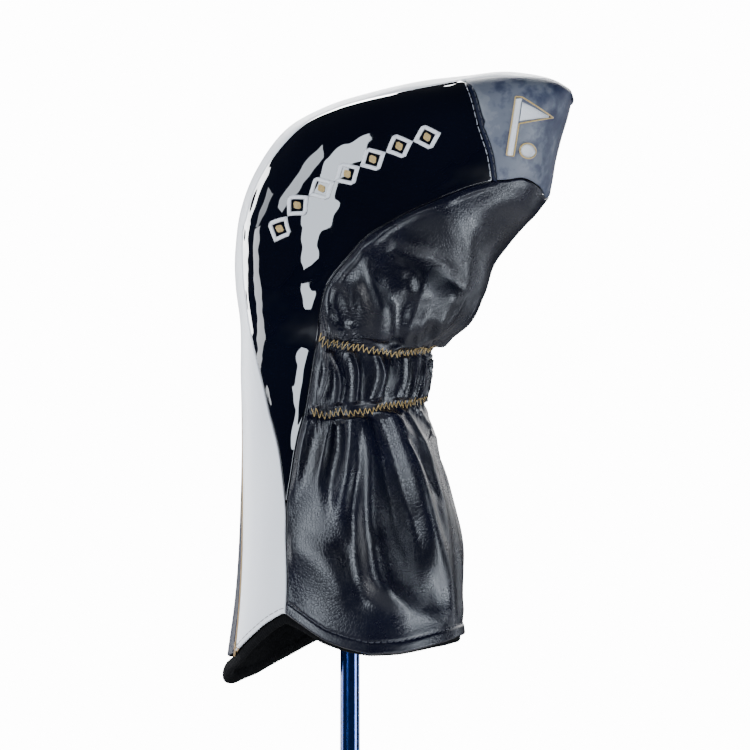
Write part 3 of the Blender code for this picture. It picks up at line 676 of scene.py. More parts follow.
# ------------------------------------------------------ folds of the leather
# Ridges (positive) and valleys of the gathered leather: line in side-view grid
# units, height mm, half width mm, share of the line over which each end fades.
UP_ROW = [(317, 332), (320, 336), (327, 344), (337, 345), (347, 346), (356, 348), (369, 351),
          (382, 352), (393, 355), (405, 353), (415, 352), (432, 349)]
LOW_ROW = [(306, 410), (318, 413), (329, 414), (341, 411), (348, 413), (360, 411),
           (372, 410), (380, 406), (388, 405), (398, 404), (407, 403), (415, 401),
           (424, 400)]
FOLDS = [
    # between the two elastic rows
    ([(325, 340), (329, 372), (318, 412)], 2.2, 1.8, .1, .1, 1.2),
    ([(330, 350), (338, 368), (341, 385), (338, 406)], 3.4, 1.4, .07, .07, 1.05),
    ([(352, 350), (358, 372), (356, 405)], 3.6, 1.3, .07, .07, 1.0),
    ([(377, 353), (382, 376), (375, 404)], 3.6, 1.3, .07, .07, 1.0),
    ([(388, 356), (380, 384), (374, 400)], 1.6, 1.0, .1, .05, 1.1),
    ([(405, 355), (404, 380), (397, 400)], 3.4, 1.3, .07, .07, 1.0),
    ([(415, 354), (412, 380), (407, 400)], 2.5, 1.0, .07, .07, 1.1),
    ([(424, 354), (422, 380), (416, 400)], 2.3, 1.0, .07, .07, 1.1),
    # fans above the upper row
    ([(369, 262), (369, 285), (378, 310), (384, 345)], 3.4, 6.4, .3, .12, 1.9),
    ([(331, 302), (334, 322), (344, 344)], 1.6, 2.4, .3, .1, 1.5),
    ([(349, 318), (352, 334), (356, 346)], 1.3, 1.8, .4, .1, 1.5),
    ([(408, 300), (406, 325), (400, 352)], 1.6, 3.0, .5, .1, 1.6),
    ([(428, 300), (421, 325), (412, 351)], 1.7, 2.6, .5, .1, 1.6),
    ([(446, 306), (434, 330), (424, 350)], 1.6, 2.6, .5, .1, 1.6),
    ([(338, 282), (342, 306), (349, 330)], -1.9, 3.0, .4, .2, 1.9),
    ([(398, 290), (400, 318), (395, 350)], -2.2, 3.4, .4, .1, 1.9),
    # skirt
    ([(314, 414), (303, 430), (298, 460), (293, 510)], 1.8, 2.6, .12, .5, 1.6),
    ([(333, 415), (328, 436), (321, 470), (316, 500)], 2.3, 2.2, .1, .6, 1.5),
    ([(349, 415), (351, 440), (347, 480), (336, 530)], 3.6, 4.4, .1, .5, 1.8),
    ([(360, 413), (366, 450), (366, 510), (374, 570), (398, 612)], 5.0, 5.4, .06, .15, 1.8),
    ([(384, 407), (400, 436), (418, 495), (437, 555), (449, 605)], 4.4, 5.6, .08, .35, 1.9),
    ([(399, 405), (413, 424), (426, 450), (440, 490)], 1.6, 2.8, .1, .5, 1.6),
    ([(412, 403), (424, 420), (438, 450)], 1.1, 2.4, .1, .6, 1.7),
    ([(340, 418), (338, 442), (332, 480), (330, 530)], -2.4, 2.8, .1, .5, 1.8),
    ([(357, 415), (358, 460), (355, 520), (364, 585)], -3.0, 3.0, .08, .4, 1.8),
    ([(374, 411), (386, 450), (404, 515), (420, 570)], -3.8, 4.6, .08, .35, 1.9),
    ([(402, 430), (424, 470), (446, 520)], -1.6, 3.0, .2, .5, 1.9),
]


# Broad shapes of the pouch and skirt: line, height mm, half width mm.
SWELLS = [
    ([(440, 213), (448, 226), (460, 244), (468, 262)], 2.6, 8.0),
    ([(396, 254), (416, 261), (438, 268), (458, 284)], -2.2, 3.8),
    ([(404, 290), (424, 296), (446, 296)], 1.3, 5.0),
    ([(352, 262), (360, 254), (374, 250)], 0.9, 4.0),
    ([(462, 284), (450, 302), (438, 318)], 1.8, 4.5),
    ([(368, 268), (374, 286), (382, 308)], 1.8, 5.0),
    ([(408, 282), (410, 300), (404, 322)], -1.2, 3.4),
    ([(420, 286), (414, 306), (408, 326)], 1.5, 4.0),
    ([(334, 292), (338, 306), (342, 320)], -1.2, 3.0),
    ([(372, 236), (400, 224), (420, 218)], 0.8, 6.0),
    ([(490, 206), (512, 202), (528, 210)], 1.0, 6.0),
    ([(500, 222), (486, 240), (478, 262)], -1.0, 6.0),
    ([(300, 545), (322, 556), (346, 580)], 1.4, 8.0),
    ([(345, 545), (352, 570), (360, 595)], -1.6, 5.0),
    ([(374, 545), (386, 575), (402, 604)], 2.0, 7.0),
    ([(407, 520), (418, 560), (428, 600)], -2.0, 6.0),
]


def swell(p, side_of, far):
    """Height of the broad shapes at points of one side of the sleeve."""
    x = p[..., 0] * 1000
    z = (p[..., 2] - COVER_Z) * 1000
    h = np.zeros(x.shape)
    r = np.random.default_rng(8)
    for line, amp, width in SWELLS:
        q = side(dense(line, 4))
        if far:
            q = q + r.uniform(-3, 3, 2)
            amp = amp * r.uniform(0.7, 1.1)
        d = np.full(x.shape, 1e9)
        a, e = q[:-1], q[1:] - q[:-1]
        for (ax, az), (ex, ez) in zip(a, e):
            t = np.clip(((x - ax) * ex + (z - az) * ez) / (ex * ex + ez * ez), 0, 1)
            d = np.minimum(d, (x - ax - t * ex) ** 2 + (z - az - t * ez) ** 2)
        h += amp * np.exp(-d / width ** 2)
    return h * side_of


def fold_tables():
    out = []
    for line, amp, width, a, c, sharp in FOLDS:
        s, th = flow(line)
        o = np.argsort(s)
        out.append((s[o], th[o], amp, width, a, c, sharp, s[0] > s[-1]))
    # the far side: the same kind of folds, moved and changed a little
    r = np.random.default_rng(5)
    for s, th, amp, width, a, c, sharp, down in list(out):
        shift = r.uniform(-5, 5)
        ds = r.uniform(-0.12, 0.12)
        out.append((s + ds, 360 + other(th + shift), amp * r.uniform(0.75, 1.1),
                    width * r.uniform(0.9, 1.2), a, c, sharp, down))
    # round the edge at the crown side
    for k, th in enumerate((140, 150, 160, 171, 181, 192)):
        w = r.uniform(0.9, 1.4)
        out.append((np.array([6.0, 7, 8.0]), np.array([th - 2, th, th + 2.]), 0.6, w,
                    .2, .2, 1.2, True))
        if k % 2 == 0:
            out.append((np.array([1.5, 3.5, 6.0]), np.array([th - 9, th - 5, th + 0.]),
                        1.3, 5.0, .5, .08, 1.9, True))
            out.append((np.array([8.0, 9.2, 10.2]), np.array([th, th + 3, th + 5.]),
                        1.5, 2.4, .1, .6, 1.7, False))
    return out


def mirror_rows(px):
    s, th = locate(side(dense(px, 4)))
    o = np.argsort(th)
    s, th = s[o], th[o]
    t = np.concatenate([th, [166.0], (360 + other(th))[::-1]])
    v = np.concatenate([s, [s[-1]], s[::-1] + 0.05])
    return t, v


UP_T, UP_S = mirror_rows(UP_ROW)
LOW_T, LOW_S = mirror_rows(LOW_ROW)
TABLES = fold_tables()


def leather_disp(s, th):
    arc_mm = arc(s, th) * 1000
    h = np.zeros(s.shape)
    for ss, tt, amp, width, a, c, sharp, down in TABLES:
        lo, hi = ss[0], ss[-1]
        t = (s - lo) / max(hi - lo, 1e-6)
        if not down:
            t = 1 - t
        # t now runs 1 at the first point drawn, 0 at the last
        t = 1 - t
        f = np.clip(t / max(a, 1e-3), 0, 1) * np.clip((1 - t) / max(c, 1e-3), 0, 1)
        f = f * f * (3 - 2 * f)
        if not np.any(f > 0):
            continue
        d = (th - np.interp(s, ss, tt)) * arc_mm
        k = np.sqrt((d / width) ** 2 + 0.02) - math.sqrt(0.02)
        h += amp * f * np.exp(-(k ** sharp) * 0.9)
    up, low = np.interp(th, UP_T, UP_S), np.interp(th, LOW_T, LOW_S)
    zu, zl = (s - up) * 13.7, (s - low) * 14.5
    pinch = 1.2 * np.exp(-(zu / 2.8) ** 2) + 1.2 * np.exp(-(zl / 2.8) ** 2)
    run = th * arc_mm
    wob = value_noise(np.stack([run * 0.02, s * 0, s * 0], -1), 0.12, 3)
    gather = np.sin(2 * np.pi * (run / 3.6) + 2.2 * wob)
    gather2 = np.sin(2 * np.pi * (run / 5.3) + 1.0 + 1.5 * wob)
    near = np.exp(-(np.abs(zu) / 4.2) ** 1.3) + np.exp(-(np.abs(zl) / 4.2) ** 1.3)
    puff = np.clip((s - low) / np.maximum(up - low, 0.1), 0, 1)
    h += 0.55 * near * gather + 0.35 * near * gather2 - pinch
    h -= 0.7 * np.sin(np.pi * puff)
    h -= 0.5 * np.sin(np.pi * puff) * np.exp(-((th - 166) / 26.0) ** 2)
    p = base(s, th)
    q = np.sin(np.radians(th))
    w = np.clip((q + 0.25) / 0.5, 0, 1)
    w = w * w * (3 - 2 * w)
    h += swell(p, w, False) + swell(p, 1 - w, True)
    h += 0.5 * value_noise(p, 0.045, 21) + 0.08 * value_noise(p, 0.018, 22)
    return h


def smooth_min(h, low):
    """Keeps a height from going below a floor, softly."""
    k = 0.8
    return low + np.logaddexp(0, (h - low) / k) * k


# -------------------------------------------------------------- outer panels
def finish_panel(o, nodes, body="headcover"):
    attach(o, body)
    if nodes:
        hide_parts(*nodes)
    return o


def build(name, s, th, disp, thick, mat, roll_mm=0.9, puff=0.0, reach=5.0, ring=False,
          skips=None, extra=None):
    b = base(s, th)
    n = normal(s, th)
    d = border_distance(b, ring=ring, **(skips or {}))
    h = roll(d, roll_mm, puff, reach)
    if disp is not None:
        w = np.clip(d / 4.0, 0, 1)
        w = w * w * (3 - 2 * w)
        h = h + disp(s, th) * (0.15 + 0.85 * w)
    if extra is not None:
        h = extra(h, s, th, d)
    pts = b + n * (h * MM)[..., None]
    return grid_object(name, pts, n, thick * MM, ring=ring, mats=[mat]), pts, n


def gloss_disp(s, th):
    p = base(s, th)
    return (0.50 * value_noise(p, 0.075, 31) + 0.26 * value_noise(p, 0.034, 32)
            + 0.13 * value_noise(p, 0.017, 33) + 0.045 * value_noise(p, 0.008, 34))


NQ = 1.0


def gloss_hi(s, way):
    a = along(gloss_seam, s, -0.30, way)
    c = along(toe_seam, s, -0.20, way)
    return np.where(s <= CORNER_S, a, c)


def gloss_lo(s, way):
    return along(gus, s, 0.18, way)


PANELS = {}
for way, tag in ((1, "front"), (-1, "back")):
    rows = by_height(TIP_S + 0.08, TOP_S - 0.10, int(330 * NQ))
    if way > 0:
        s, th = grid(rows, lambda q: gloss_lo(q, 1), lambda q: gloss_hi(q, 1), int(150 * NQ))
    else:
        s, th = grid(rows, lambda q: gloss_hi(q, -1), lambda q: gloss_lo(q, -1),
                     int(150 * NQ))
    o, pts, n = build("gloss_" + tag, s, th, gloss_disp, 0.8, M_GLOSS, roll_mm=0.55)
    finish_panel(o, ["gloss_panel_" + tag])
    PANELS["gloss_" + tag] = o

TOE_FIRST = CORNER_S + 0.02


def toe_lo(s, way):
    a = along(toe_seam, s, 2.25, way)
    b = along(gus, s, 0.18, way)
    k = np.clip((TOP_S + 0.05 - s) / 0.25, 0, 1)
    return np.where(s < TOP_S - 0.2, a, b * (1 - k) + a * k)


def toe_bend(s, th):
    return ((crown_s(th) + 0.03 - TOE_FIRST)
            * np.maximum(0.0, 1 - (s - TOE_FIRST) / 2.2) ** 2)


rows = by_height(TOE_FIRST, 21.92, int(230 * NQ))
s, th = grid(rows, lambda q: toe_lo(q, 1), lambda q: 360 + toe_lo(q, -1), int(300 * NQ),
             toe_bend)


def toe_disp(s, th):
    p = base(s, th)
    return 0.35 * value_noise(p, 0.05, 41)


o, pts, n = build("toe_cap_panel", s, th, toe_disp, 0.8, M_TOE, roll_mm=0.9,
                  skips={"skip_last": True})
finish_panel(o, ["toe_panel"])
PANELS["toe"] = o


# folded tape between the gloss panel and the toe panel
for way, tag in ((1, "front"), (-1, "back")):
    rows = by_height(CORNER_S + 0.03, TOP_S - 0.06, int(140 * NQ))
    lo, hi = (lambda q: along(toe_seam, q, 0.0, 1)), (lambda q: along(toe_seam, q, 2.05, 1))
    if way < 0:
        lo, hi = (lambda q: along(toe_seam, q, 2.05, -1)), (lambda q: along(toe_seam, q, 0.0, -1))
    s, th = grid(rows, lo, hi, 18)
    o, pts, n = build("toe_seam_tape_" + tag, s, th, None, 0.8, M_NAVY, roll_mm=0.6,
                      extra=lambda h, s, th, d: h + 0.05)
    finish_panel(o, None)
    PANELS["tape_" + tag] = o

STRIPE_END = 17.9


def gusset_edge(s, way):
    a = along(pipe, s, 0.55, way)
    b = along(lambda q: np.full(np.shape(q), SPINE), s, 0.10, way)
    return np.where(s < STRIPE_END, a, b)


for way, tag in ((1, "front"), (-1, "back")):
    rows = by_height(HEM_S, 21.9, int(520 * NQ), 0.6)
    lo = lambda q: gusset_edge(q, 1)
    hi = lambda q: along(gus, q, -0.18, 1)
    if way < 0:
        lo = lambda q: along(gus, q, -0.18, -1)
        hi = lambda q: gusset_edge(q, -1)
    s, th = grid(rows, lo, hi, int(44 * NQ), hem_bend)
    o, pts, n = build("gusset_white_" + tag, s, th,
                      lambda s, th: 0.25 * value_noise(base(s, th), 0.04, 51), 0.8,
                      M_WHITE, roll_mm=0.8, puff=0.35, skips={"skip_last": True})
    finish_panel(o, ["gusset_" + tag])
    PANELS["gusset_" + tag] = o

rows = by_height(HEM_S - 0.02, STRIPE_END - 0.05, int(460 * NQ), 0.6)
s, th = grid(rows, lambda q: along(pipe, q, -1.55, -1), lambda q: along(pipe, q, -1.55, 1),
             int(40 * NQ), hem_bend)
o, pts, n = build("stripe_navy", s, th, None, 0.8, M_NAVY, roll_mm=0.7, puff=0.2)
finish_panel(o, ["spine_stripe"])
PANELS["stripe"] = o
for way, tag in ((1, "front"), (-1, "back")):
    if way > 0:
        lo, hi = (lambda q: along(pipe, q, -1.5, 1)), (lambda q: along(pipe, q, -0.5, 1))
    else:
        lo, hi = (lambda q: along(pipe, q, -0.5, -1)), (lambda q: along(pipe, q, -1.5, -1))
    s, th = grid(rows, lo, hi, 7, hem_bend)
    o, pts, n = build("flange_white_" + tag, s, th, None, 0.6, M_WHITE, roll_mm=0.3,
                      extra=lambda h, s, th, d: h - 0.15)
    finish_panel(o, None)

sock_top = CORNER_S - 0.05


def leather_edge(s, way):
    a = along(gus, s, 0.22, way)
    b = along(gloss_seam, s, 0.30, way)
    w = np.clip((s - TIP_S + 0.05) / 0.25, 0, 1)
    return a * (1 - w) + b * w


def sock_bend(s, th):
    v = np.clip((s - HEM_S) / (sock_top - HEM_S), 0, 1)
    return hem_bend(s, th) + (crown_s(th) - 0.03 - sock_top) * v ** 8


def leather_rows(s0, s1, n):
    """Rows for the leather: even in mm, twice as fine near the elastic rows."""
    q = np.linspace(s0, s1, 900)
    p = np.linalg.norm(np.diff(middle(q), axis=0), axis=1)
    m = (q[1:] + q[:-1]) / 2
    w = 1 + 1.3 * np.exp(-((m - 7) / 1.5) ** 2) + 1.2 * np.exp(-((m - s0) / 0.15) ** 2) \
        + 1.2 * np.exp(-((m - s1) / 0.15) ** 2)
    c = np.concatenate([[0], np.cumsum(p * w)])
    return np.interp(np.linspace(0, c[-1], n), c, q)


rows = leather_rows(HEM_S, sock_top, int(520 * NQ))
s, th = grid(rows, lambda q: leather_edge(q, 1), lambda q: 360 + leather_edge(q, -1),
             int(430 * NQ), sock_bend)


def leather_extra(h, s, th, d):
    b = base(s, th)
    # rolled edge standing up beside the gloss panel
    seam = np.clip((s - TIP_S) / 1.2, 0, 1) * np.clip((CORNER_S - s) / 0.6, 0, 1)
    lo, hi = leather_edge(s, 1), 360 + leather_edge(s, -1)
    side_mm = np.minimum(th - lo, hi - th) * arc(s, th) * 1000
    h = h + seam * 1.3 * np.exp(-((side_mm - 3.0) / 2.4) ** 2)
    h = smooth_min(h, -1.7)
    # turned hem, a little thicker than the single layer above its stitching
    hm = (s - hem_s(th)) * 21.0
    h = h + 0.35 / (1 + np.exp((hm - 5.2) / 0.35)) - 0.45 * np.exp(-((hm - 5.4) / 0.7) ** 2)
    return h


o, pts, n = build("leather_sleeve", s, th, leather_disp, 0.75, M_LEATHER, roll_mm=1.0,
                  extra=leather_extra)
finish_panel(o, ["leather_sock"])
PANELS["leather"] = o
SKIN = {k: Skin(v) for k, v in PANELS.items()}
LEATHER_GRID = (s, th)


# -------------------------------------------------------------- small things
def tube(name, path, radius, mat, sides=8, closed=False, caps=True, ups=None,
         flatten=1.0, twist=0.0):
    """A mesh tube along points; radius may vary per point."""
    p = np.asarray(path, float)
    k = len(p)
    r = np.full(k, radius) if np.isscalar(radius) else np.asarray(radius, float)
    t = np.gradient(p, axis=0)
    if closed:
        t = np.roll(p, -1, 0) - np.roll(p, 1, 0)
    t /= np.maximum(np.linalg.norm(t, axis=1, keepdims=True), 1e-12)
    if ups is None:
        ups = np.tile([0.0, -1.0, 0.3], (k, 1))
    u = ups - t * np.sum(ups * t, 1, keepdims=True)
    u /= np.maximum(np.linalg.norm(u, axis=1, keepdims=True), 1e-9)
    v = np.cross(t, u)
    a = np.linspace(0, 2 * np.pi, sides, endpoint=False)[None, :] + (
        np.arange(k) * twist)[:, None]
    ring = (p[:, None] + u[:, None] * (np.cos(a) * r[:, None] * flatten)[..., None]
            + v[:, None] * (np.sin(a) * r[:, None])[..., None])
    verts = ring.reshape(-1, 3)
    faces = grid_faces(k, sides, ring=True)
    if closed:
        q = (k - 1) * sides
        faces += [[q + j, q + (j + 1) % sides, (j + 1) % sides, j] for j in range(sides)]
    elif caps:
        faces.append(list(range(sides))[::-1])
        faces.append([(k - 1) * sides + j for j in range(sides)])
    return mesh_object(name, verts, faces), verts, faces


def merged_mesh(name, parts, mat):
    vs, fs, off = [], [], 0
    for v, f in parts:
        vs.append(v)
        fs += [[i + off for i in q] for q in f]
        off += len(v)
    o = mesh_object(name, np.concatenate(vs), fs)
    o.data.materials.append(mat)
    return o


def tube_data(path, radius, sides=6, ups=None, flatten=1.0):
    o, v, f = tube("tmp", path, radius, None, sides=sides, ups=ups, flatten=flatten)
    bpy.data.objects.remove(o, do_unlink=True)
    return v, f


def capsule(a, b, n, r, bow=0.0, sides=6, steps=5, flatten=1.0):
    """A stitch from a to b bowed up along n, with rounded ends."""
    u = np.linspace(0, 1, steps + 4)
    u = 0.5 - 0.5 * np.cos(np.pi * u)
    path = a[None] * (1 - u)[:, None] + b[None] * u[:, None] + n[None] * (
        bow * np.sin(np.pi * u))[:, None]
    rad = r * np.sqrt(np.clip(1 - (np.abs(2 * u - 1)) ** 6, 0.04, 1))
    return tube_data(path, rad, sides, ups=np.tile(n, (len(u), 1)), flatten=flatten)


def stitch_run(name, pts, nrm, length, gap, r, mat, bow=0.12e-3, side_shift=0.0,
               lift=0.0, sides=6):
    """A line of separate stitches along a path on the surface."""
    seg = np.linalg.norm(np.diff(pts, axis=0), axis=1)
    c = np.concatenate([[0], np.cumsum(seg)])
    parts = []
    pos = gap / 2
    while pos + length < c[-1]:
        a = np.array([np.interp(pos, c, pts[:, k]) for k in range(3)])
        b = np.array([np.interp(pos + length, c, pts[:, k]) for k in range(3)])
        n = np.array([np.interp(pos + length / 2, c, nrm[:, k]) for k in range(3)])
        n /= np.linalg.norm(n)
        parts.append(capsule(a + n * lift, b + n * lift, n, r, bow=bow, sides=sides, steps=3))
        pos += length + gap
    o = merged_mesh(name, parts, mat)
    return finish_panel(o, None)


def on_panel(key, s, th, lift=0.0):
    b, n = base(s, th), normal(s, th)
    return SKIN[key].drop(b, n, lift)


def polyline(px, key, n, lift=0.0):
    """Points along a side-view line laid on a panel."""
    p = dense(px, 12)
    seg = np.concatenate([[0], np.cumsum(np.linalg.norm(np.diff(p, axis=0), axis=1))])
    q = np.linspace(0, seg[-1], n)
    p = np.stack([np.interp(q, seg, p[:, k]) for k in range(2)], -1)
    s, th = locate(side(p))
    return on_panel(key, s, th, lift)


def mirror_y(s, th):
    return s, 360 + other(th)


# gold piping, two twisted strands
def piping(way, tag):
    rows = by_height(HEM_S - 0.10, STRIPE_END - 0.1, 900, 0.0)
    line = pipe if way > 0 else (lambda q: other(pipe(q)))
    th = settle(line, rows, hem_bend)
    s = rows + hem_bend(rows, th)
    b, n = base(s, th), normal(s, th)
    core = b - n * 0.00015
    t = np.gradient(core, axis=0)
    t /= np.linalg.norm(t, axis=1, keepdims=True)
    v = np.cross(t, n)
    run = np.concatenate([[0], np.cumsum(np.linalg.norm(np.diff(core, axis=0), axis=1))])
    parts = []
    for k in range(2):
        a = 2 * np.pi * run / 0.0021 + k * np.pi
        path = core + (n * np.cos(a)[:, None] + v * np.sin(a)[:, None]) * 0.00026
        parts.append(tube_data(path, 0.00034, 6, ups=n))
    o = merged_mesh("piping_gold_" + tag, parts, M_GOLD)
    finish_panel(o, ["piping_" + tag])


piping(1, "front")
piping(-1, "back")

# a short loose end of the piping at the hem, front side
tail = np.array([(237.6, 640.0), (238.4, 643.0), (240.2, 645.6), (239.0, 647.4), (236.8, 645.0),
                 (238.0, 641.6)])
pts, n = polyline(tail, "gusset_front", 40, 0.9)
v, f = tube_data(pts, 0.00028, 6, ups=n)
finish_panel(merged_mesh("piping_tail", [(v, f)], M_GOLD), None)

# welt cords under the rolled edge
for way, tag in ((1, "front"), (-1, "back")):
    rows = by_height(TIP_S + 0.15, CORNER_S - 0.05, 300, 0.0)
    line = gloss_seam if way > 0 else (lambda q: other(gloss_seam(q)))
    th = line(rows)
    b, n = base(rows, th), normal(rows, th)
    v, f = tube_data(b - n * 0.0013, 0.00075, 10, ups=n)
    finish_panel(merged_mesh("welt_cord_" + tag, [(v, f)], M_LEATHER),
                 ["welt_" + tag])
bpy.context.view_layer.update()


# ------------------------------------------------------------------ stitching
def offset_line(line, s, mm, way):
    return along(line, s, mm, way)


for way, tag in ((1, "front"), (-1, "back")):
    # light thread along the gloss panel's edge beside the toe panel
    q = np.linspace(CORNER_S + 0.12, TOP_S - 0.12, 200)
    pts, n = on_panel("gloss_" + tag, q, offset_line(toe_seam, q, -0.85, way))
    stitch_run("toe_seam_thread_" + tag, pts, n, 0.0030, 0.0006, 0.00020, M_GREY_THREAD,
               bow=0.0002, lift=0.0001)
    q = np.linspace(CORNER_S + 0.2, TOP_S - 0.12, 200)
    pts, n = on_panel("tape_" + tag, q, offset_line(toe_seam, q, 1.5, way))
    stitch_run("toe_panel_thread_" + tag, pts, n, 0.0030, 0.0006, 0.00028, M_DARK_THREAD,
               bow=0.0002, lift=0.00005)

# dark stitching round the turned hem of the leather
th0 = float(leather_edge(np.array([1.0]), 1)[0]) + 3.0
th1 = 360 + float(leather_edge(np.array([1.0]), -1)[0]) - 3.0
q = np.linspace(th0, th1, 900)
sq = hem_s(q) + 5.5 / 21.0
pts, n = on_panel("leather", sq, q)
stitch_run("hem_thread", pts, n, 0.0021, 0.0009, 0.00030, M_DARK_THREAD,
           bow=0.0001, lift=0.00002)
# fine dark line along the white hem, both sides
for way, tag in ((1, "front"), (-1, "back")):
    a = float(along(pipe, np.array([1.0]), 1.2, 1)[0])
    c = float(along(gus, np.array([1.0]), -1.0, 1)[0])
    q = np.linspace(a, c, 300)
    sq = hem_s(q) + 2.4 / 21.0
    if way < 0:
        q = 360 + other(q)
        sq = hem_s(q) + 2.4 / 21.0
    pts, n = on_panel("gusset_" + tag, sq, q)
    stitch_run("white_hem_thread_" + tag, pts, n, 0.0026, 0.0004, 0.00020, M_BROWN_THREAD,
               bow=0.00005, lift=0.0)

# short stitches closing the toe end
for way in (1, -1):
    q = np.linspace(20.55, 21.3, 60)
    t = np.full(60, 168.0) if way > 0 else np.full(60, 164.0)
th = np.linspace(110, 222, 160)
pts, n = on_panel("toe", np.full(160, 21.35), th)
stitch_run("toe_end_thread", pts, n, 0.0026, 0.0010, 0.00026, M_GREY_THREAD,
           bow=0.0001)


# gold zigzag on both elastic rows
def zigzag(name, t_tab, s_tab, height, pitch):
    lo = float(leather_edge(np.array([7.0]), 1)[0]) + 1.2
    hi = 360 + float(leather_edge(np.array([7.0]), -1)[0]) - 1.2
    t = np.linspace(lo, hi, 700)
    s = np.interp(t, t_tab, s_tab)
    p, n = on_panel("leather", s, t)
    b = base(s, t)
    run = np.concatenate([[0], np.cumsum(np.linalg.norm(np.diff(b, axis=0), axis=1))])
    r = np.random.default_rng(9)
    k = int(run[-1] / (pitch / 2))
    q = np.linspace(0, run[-1], k + 1) + r.uniform(-0.28, 0.28, k + 1) * pitch / 2
    tq = np.interp(q, run, t)
    sq = np.interp(tq, t_tab, s_tab)
    up = np.where(np.arange(k + 1) % 2 == 0, 0.5, -0.5) * height * r.uniform(0.6, 1.35, k + 1)
    sq = sq + up / 0.0140
    parts = []
    for i in range(k):
        m = 6
        u = np.linspace(0, 1, m)
        ts = tq[i] * (1 - u) + tq[i + 1] * u
        ss = sq[i] * (1 - u) + sq[i + 1] * u
        pp, nn = on_panel("leather", ss, ts, 0.16)
        rad = np.full(m, 0.00016)
        rad[0] = rad[-1] = 0.00010
        parts.append(tube_data(pp, rad, 5, ups=nn))
    finish_panel(merged_mesh(name, parts, M_GOLD_THREAD), None)


zigzag("zigzag_upper", UP_T, UP_S, 0.0036, 0.0024)
zigzag("zigzag_lower", LOW_T, LOW_S, 0.0034, 0.0023)


# ---------------------------------------------------------------- embroidery
def satin(strokes, place, width_bow=0.45, step=0.42):
    """Stitches laid across each stroke. A stroke is (a, b, width) in the
    ornament's own mm, with its ends cut along given directions."""
    parts = []
    for a, b, w, cut in strokes:
        a, b = np.asarray(a, float), np.asarray(b, float)
        d = b - a
        length = np.linalg.norm(d)
        d /= length
        c = np.asarray(cut, float)
        c /= np.linalg.norm(c)
        # half stitch along the cut direction, so the width square to the stroke is w
        square = abs(d[0] * c[1] - d[1] * c[0])
        half = w / 2 / max(square, 0.3)
        k = max(2, int(length / step))
        for i in range(k + 1):
            m = a + d * length * i / k
            u = np.linspace(-1, 1, 7)
            local = m[None] + c[None] * (u * half)[:, None]
            pts, nrm = place(local)
            h = 0.00018 + 0.00042 * (1 - np.abs(u) ** 3.0)
            pts = pts + nrm * h[:, None]
            rad = np.full(7, step * 0.00062)
            rad[0] = rad[-1] = step * 0.00040
            parts.append(tube_data(pts, rad, 4, ups=nrm))
    return parts


ARC = np.array([(276, 244), (284, 226), (297, 210), (313, 197), (335, 185), (362, 169),
                (398, 150.5), (440, 137)], float)
AD = dense(ARC, 30)
AD = AD[0] + np.cumsum(np.vstack([[0, 0], np.diff(AD, axis=0)]), 0)
AS = np.concatenate([[0], np.cumsum(np.linalg.norm(np.diff(AD, axis=0), axis=1))]) * UNIT
AT = np.gradient(AD, axis=0)
AT = np.stack([soften(AT[:, 0], 24), soften(AT[:, 1], 24)], -1)
AT /= np.linalg.norm(AT, axis=1, keepdims=True)


def on_arc(tag):
    def place(local):
        u, v = local[:, 0], local[:, 1]
        c = np.stack([np.interp(u, AS, AD[:, k]) for k in range(2)], -1)
        t = np.stack([np.interp(u, AS, AT[:, k]) for k in range(2)], -1)
        t /= np.linalg.norm(t, axis=1, keepdims=True)
        nrm2 = np.stack([t[:, 1], -t[:, 0]], -1)     # towards the top of the band
        px = c + nrm2 * (v / UNIT)[:, None]
        s, th = locate(side(px))
        if tag == "back":
            s, th = mirror_y(s, th)
        b, n = base(s, th), normal(s, th)
        return SKIN["gloss_" + tag].drop(b, n, 0.0)
    return place


# A plain band of shapes: open diamonds.
TOTAL = AS[-1]
H = 5.2
strokes = []


def bar(u, lean=1.6, w=2.1, top=H, low=-H):
    strokes.append(((u - lean, low), (u + lean, top), w, (1, 0)))


def diamond(u, half, w=1.9):
    k = 0.72
    for p, q in (((u - half, 0), (u, H * 1.0)), ((u, H), (u + half, 0)),
                 ((u + half, 0), (u, -H)), ((u, -H), (u - half, 0))):
        strokes.append((p, q, w, (1, 0)))


def ring_unused(u, half, w=1.9, n=14):
    for i in range(n):
        a, b = 2 * math.pi * i / n, 2 * math.pi * (i + 1) / n
        p = (u + half * math.cos(a), (H - w / 2) * math.sin(a))
        q = (u + half * math.cos(b), (H - w / 2) * math.sin(b))
        m = (math.cos((a + b) / 2) / half, math.sin((a + b) / 2) / (H - w / 2))
        strokes.append((p, q, w, m))


N_LOZ = 7
pitch = TOTAL / N_LOZ
for k in range(N_LOZ):
    v = (k + 0.5) * pitch
    diamond(v, pitch * 0.40, 1.8)
gold_strokes = []
for k in range(N_LOZ):
    v = (k + 0.5) * pitch
    for q in range(8):
        y = -1.6 + q * 3.2 / 7
        w = 3.2 - abs(y) * 1.5
        gold_strokes.append(((v - w / 2, y), (v + w / 2, y), 0.5, (0.02, 1)))
for tag in ("front", "back"):
    parts = satin(strokes, on_arc(tag))
    finish_panel(merged_mesh("band_embroidery_" + tag, parts, M_WHITE_THREAD),
                 None)
    parts = satin(gold_strokes, on_arc(tag), step=0.5)
    finish_panel(merged_mesh("band_gold_" + tag, parts, M_GOLD_THREAD), None)


# a pin flag on the toe panel
def flag_place(tag, cx=525.0, cy=133.0, turn=-9.0):
    ca, sa = math.cos(math.radians(turn)), math.sin(math.radians(turn))

    def place(local):
        u, v = local[:, 0] * 1.12, local[:, 1] * 1.02
        px = np.stack([cx + (u * ca - v * sa) / UNIT, cy - (u * sa + v * ca) / UNIT], -1)
        s, th = locate(side(px))
        if tag == "back":
            s, th = mirror_y(s, th)
        b, n = base(s, th), normal(s, th)
        return SKIN["toe"].drop(b, n, 0.0)
    return place


